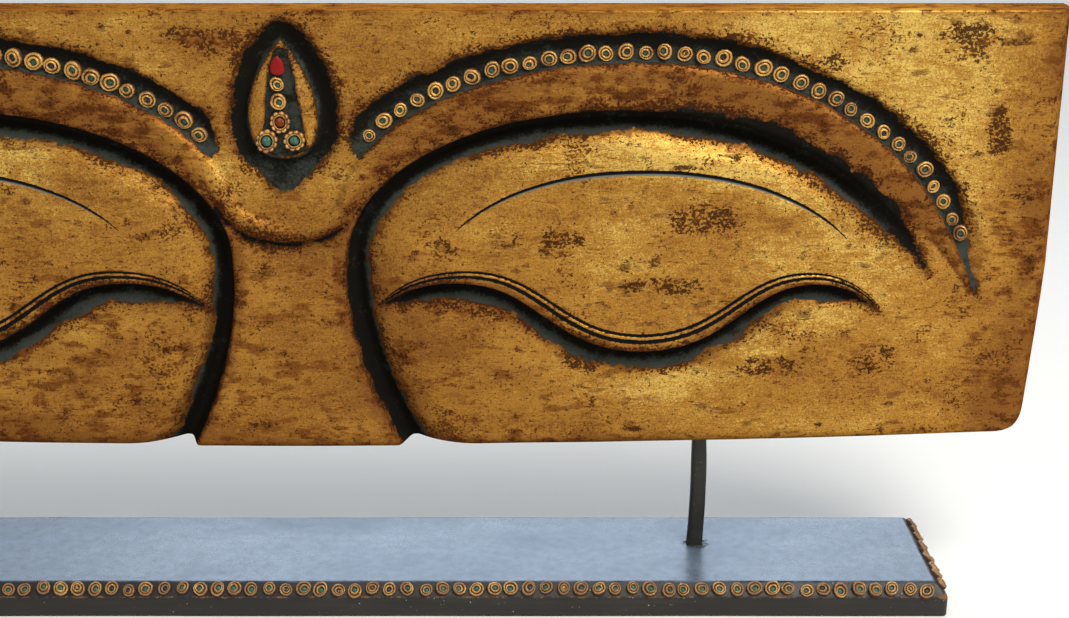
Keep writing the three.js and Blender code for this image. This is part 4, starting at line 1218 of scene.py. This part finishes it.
def black_paint():
    material, shader, place = new_material("black_paint", IOR=1.5)
    x, y, z = (place.node("ShaderNodeSeparateXYZ", None, {"Vector": place}, output=axis) * 1000
               for axis in "XYZ")
    brush = place.stretched(0.03, 1, 1).noise(2.2, 4, 0.6)
    patch = place.stretched(0.5, 1, 1).noise(45, 4, 0.6)
    fine = place.noise(1.1, 3, 0.7)
    coarse = place.noise(7, 4, 0.65)

    colour = (patch * 0.7 + brush * 0.3).ramp(0.42, 0.68).blend(PAINT_BLACK, PAINT_DUSTY)
    on_base = 1 - z.ramp(base_high[2] + 0.4, base_high[2] + 1)
    lying = z.ramp(base_high[2] - 0.8, base_high[2] - 0.1) * on_base
    # Bluish grey patches on the top: partly dust, partly a painted sky reflection.
    dust_and_sky_sheen = (patch * 1.2 + coarse * 0.8 + fine * 0.6 - 0.7).ramp(0.25, 0.95) * lying
    colour = dust_and_sky_sheen.blend(colour, TOP_DUST_AND_SKY_SHEEN)
    beyond = (x.math("ABSOLUTE", x) - (base_high[0] - CHAMFER)).at_least(-y - (59 - CHAMFER))
    lower = 1 - (z - (base_high[2] - CHAMFER)).math("ABSOLUTE", z - 14.5).ramp(0.3, 1.6)
    upper = (1 - (beyond + 0.4).math("ABSOLUTE", beyond + 0.4).ramp(0.4, 1.8)) * z.ramp(20, 21.5)
    under = 1 - z.ramp(0.5, 2.2)
    edge = lower.at_least(upper * 0.8).at_least(under)
    from_corner = (x - base_high[0]) * (x - base_high[0]) + (y - base_low[1]) * (y - base_low[1])
    corner = 1 - (from_corner + (coarse - 0.5) * 90).ramp(5, 60)
    edge = edge + corner * z.ramp(7, 14) * 1.2
    rubbed = (edge * 0.4 + coarse * 0.75 + (fine - 0.5) * 0.4).ramp(0.76, 0.86)
    colour = (rubbed * 0.85).blend(colour, WOOD_RUBBED)

    reach = place.node("ShaderNodeCombineXYZ", None, {
        "X": x.math("ABSOLUTE", x) - POST_PLACE, "Y": y - 8, "Z": (z - 22) * 2})
    foot = reach.node("ShaderNodeVectorMath", {"operation": "LENGTH"}, {0: reach}, output="Value")
    near = 1 - foot.ramp(6, 17)
    crack = (near * 0.5 + (fine - 0.5) * 1.1 + (coarse - 0.5) * 0.7).ramp(0.44, 0.5)
    colour = (crack * 0.8).blend(colour, srgb(46, 38, 26))
    speck = (place.noise(1.6, 1, 0.5) + (patch - 0.5) * 0.3).ramp(0.785, 0.8)
    colour = speck.blend(colour, CHIP_PALE)

    worn = rubbed.at_least(crack).at_least(speck)
    roughness = (patch - 0.5) * 0.5 + (fine - 0.5) * 0.4 + worn * 0.3 + 0.5 - lying * 0.2
    height = brush * 0.4 + coarse * 0.2 - worn * 0.8 + patch * 0.4
    feed(shader, place, colour, roughness, height, 0.16)
    return material


black = black_paint()
points, faces, smooth = base_board()
make_piece("base_board", points, faces, black, ("base",), smooth)
for side, sign in (("left", -1), ("right", 1)):
    points, faces = post_bar(sign)
    make_piece(f"post_bar_{side}", points, faces, black, (f"post_{side}",))

# %% [markdown]
# ## Floor, light and surroundings
#
# The photograph was taken under a bright open sky with nothing near, so gold that faces up is
# bright and the black base mirrors the pale horizon. A large soft light above, a weaker one from
# the left and a pale band in the surroundings stand in for it. The floor is plain and pale.

# %% Floor, lights and world
def add_floor(half_width=14.0):
    corners = np.array([(-1, -1, 0), (1, -1, 0), (1, 1, 0), (-1, 1, 0)]) * half_width
    mesh = bpy.data.meshes.new("floor")
    mesh.from_pydata(corners.tolist(), [], [(0, 1, 2, 3)])
    floor = bpy.data.objects.new("floor", mesh)
    bpy.context.scene.collection.objects.link(floor)
    material, shader, place = new_material("floor_paint")
    shade = place.noise(900, 2, 0.5).blend(srgb(238, 235, 229), srgb(243, 240, 234))
    feed(shader, place, shade, place.noise(40, 2, 0.5) * 0.1 + 0.7, place.noise(6, 2, 0.5), 0.05)
    mesh.materials.append(material)


def add_light(name, place, target, width, power, colour=(1, 1, 1)):
    """A square area light at a place, turned towards a target."""
    data = bpy.data.lights.new(name, "AREA")
    data.shape = "SQUARE"
    data.size = width
    data.energy = power
    data.color = colour
    lamp = bpy.data.objects.new(name, data)
    bpy.context.scene.collection.objects.link(lamp)
    lamp.location = place
    aim = np.array(target) - np.array(place)
    flat = np.hypot(aim[0], aim[1])
    lamp.rotation_euler = (np.arctan2(flat, -aim[2]), 0, np.arctan2(aim[1], aim[0]) - np.pi / 2)
    lamp.visible_camera = False


def add_world():
    """An even pale sky, and a brighter bluish one low behind the object: a product of ramps."""
    world = bpy.data.worlds.new("sky")
    world.use_nodes = True
    bpy.context.scene.world = world
    tree = world.node_tree
    source = tree.nodes.new("ShaderNodeTexCoord")
    toward = Pattern(tree, source.outputs["Generated"])
    across, back, up = (toward.node("ShaderNodeSeparateXYZ", None, {"Vector": toward}, output=axis)
                        for axis in "XYZ")
    behind = up.ramp(0.26, 0.38) * (1 - up.ramp(0.55, 0.75)) * back.ramp(0.2, 0.7)
    behind = behind * (1.24 - across * across * 7.0).at_least(0)
    colour = behind.blend((0.42, 0.42, 0.42, 1), (3.7, 4.6, 5.7, 1))
    tree.links.new(colour.output, tree.nodes["Background"].inputs["Color"])


add_floor()
add_light("key_right", (1.15, -1.15, 2.2), (0.1, 0, 0.2), 1.4, 62, (1.0, 0.98, 0.93))
add_light("fill_left", (-2.2, -2.4, 1.6), (0, 0, 0.25), 1.6, 5, (0.92, 0.96, 1.0))
add_world()
bpy.context.scene.view_settings.view_transform = "Standard"
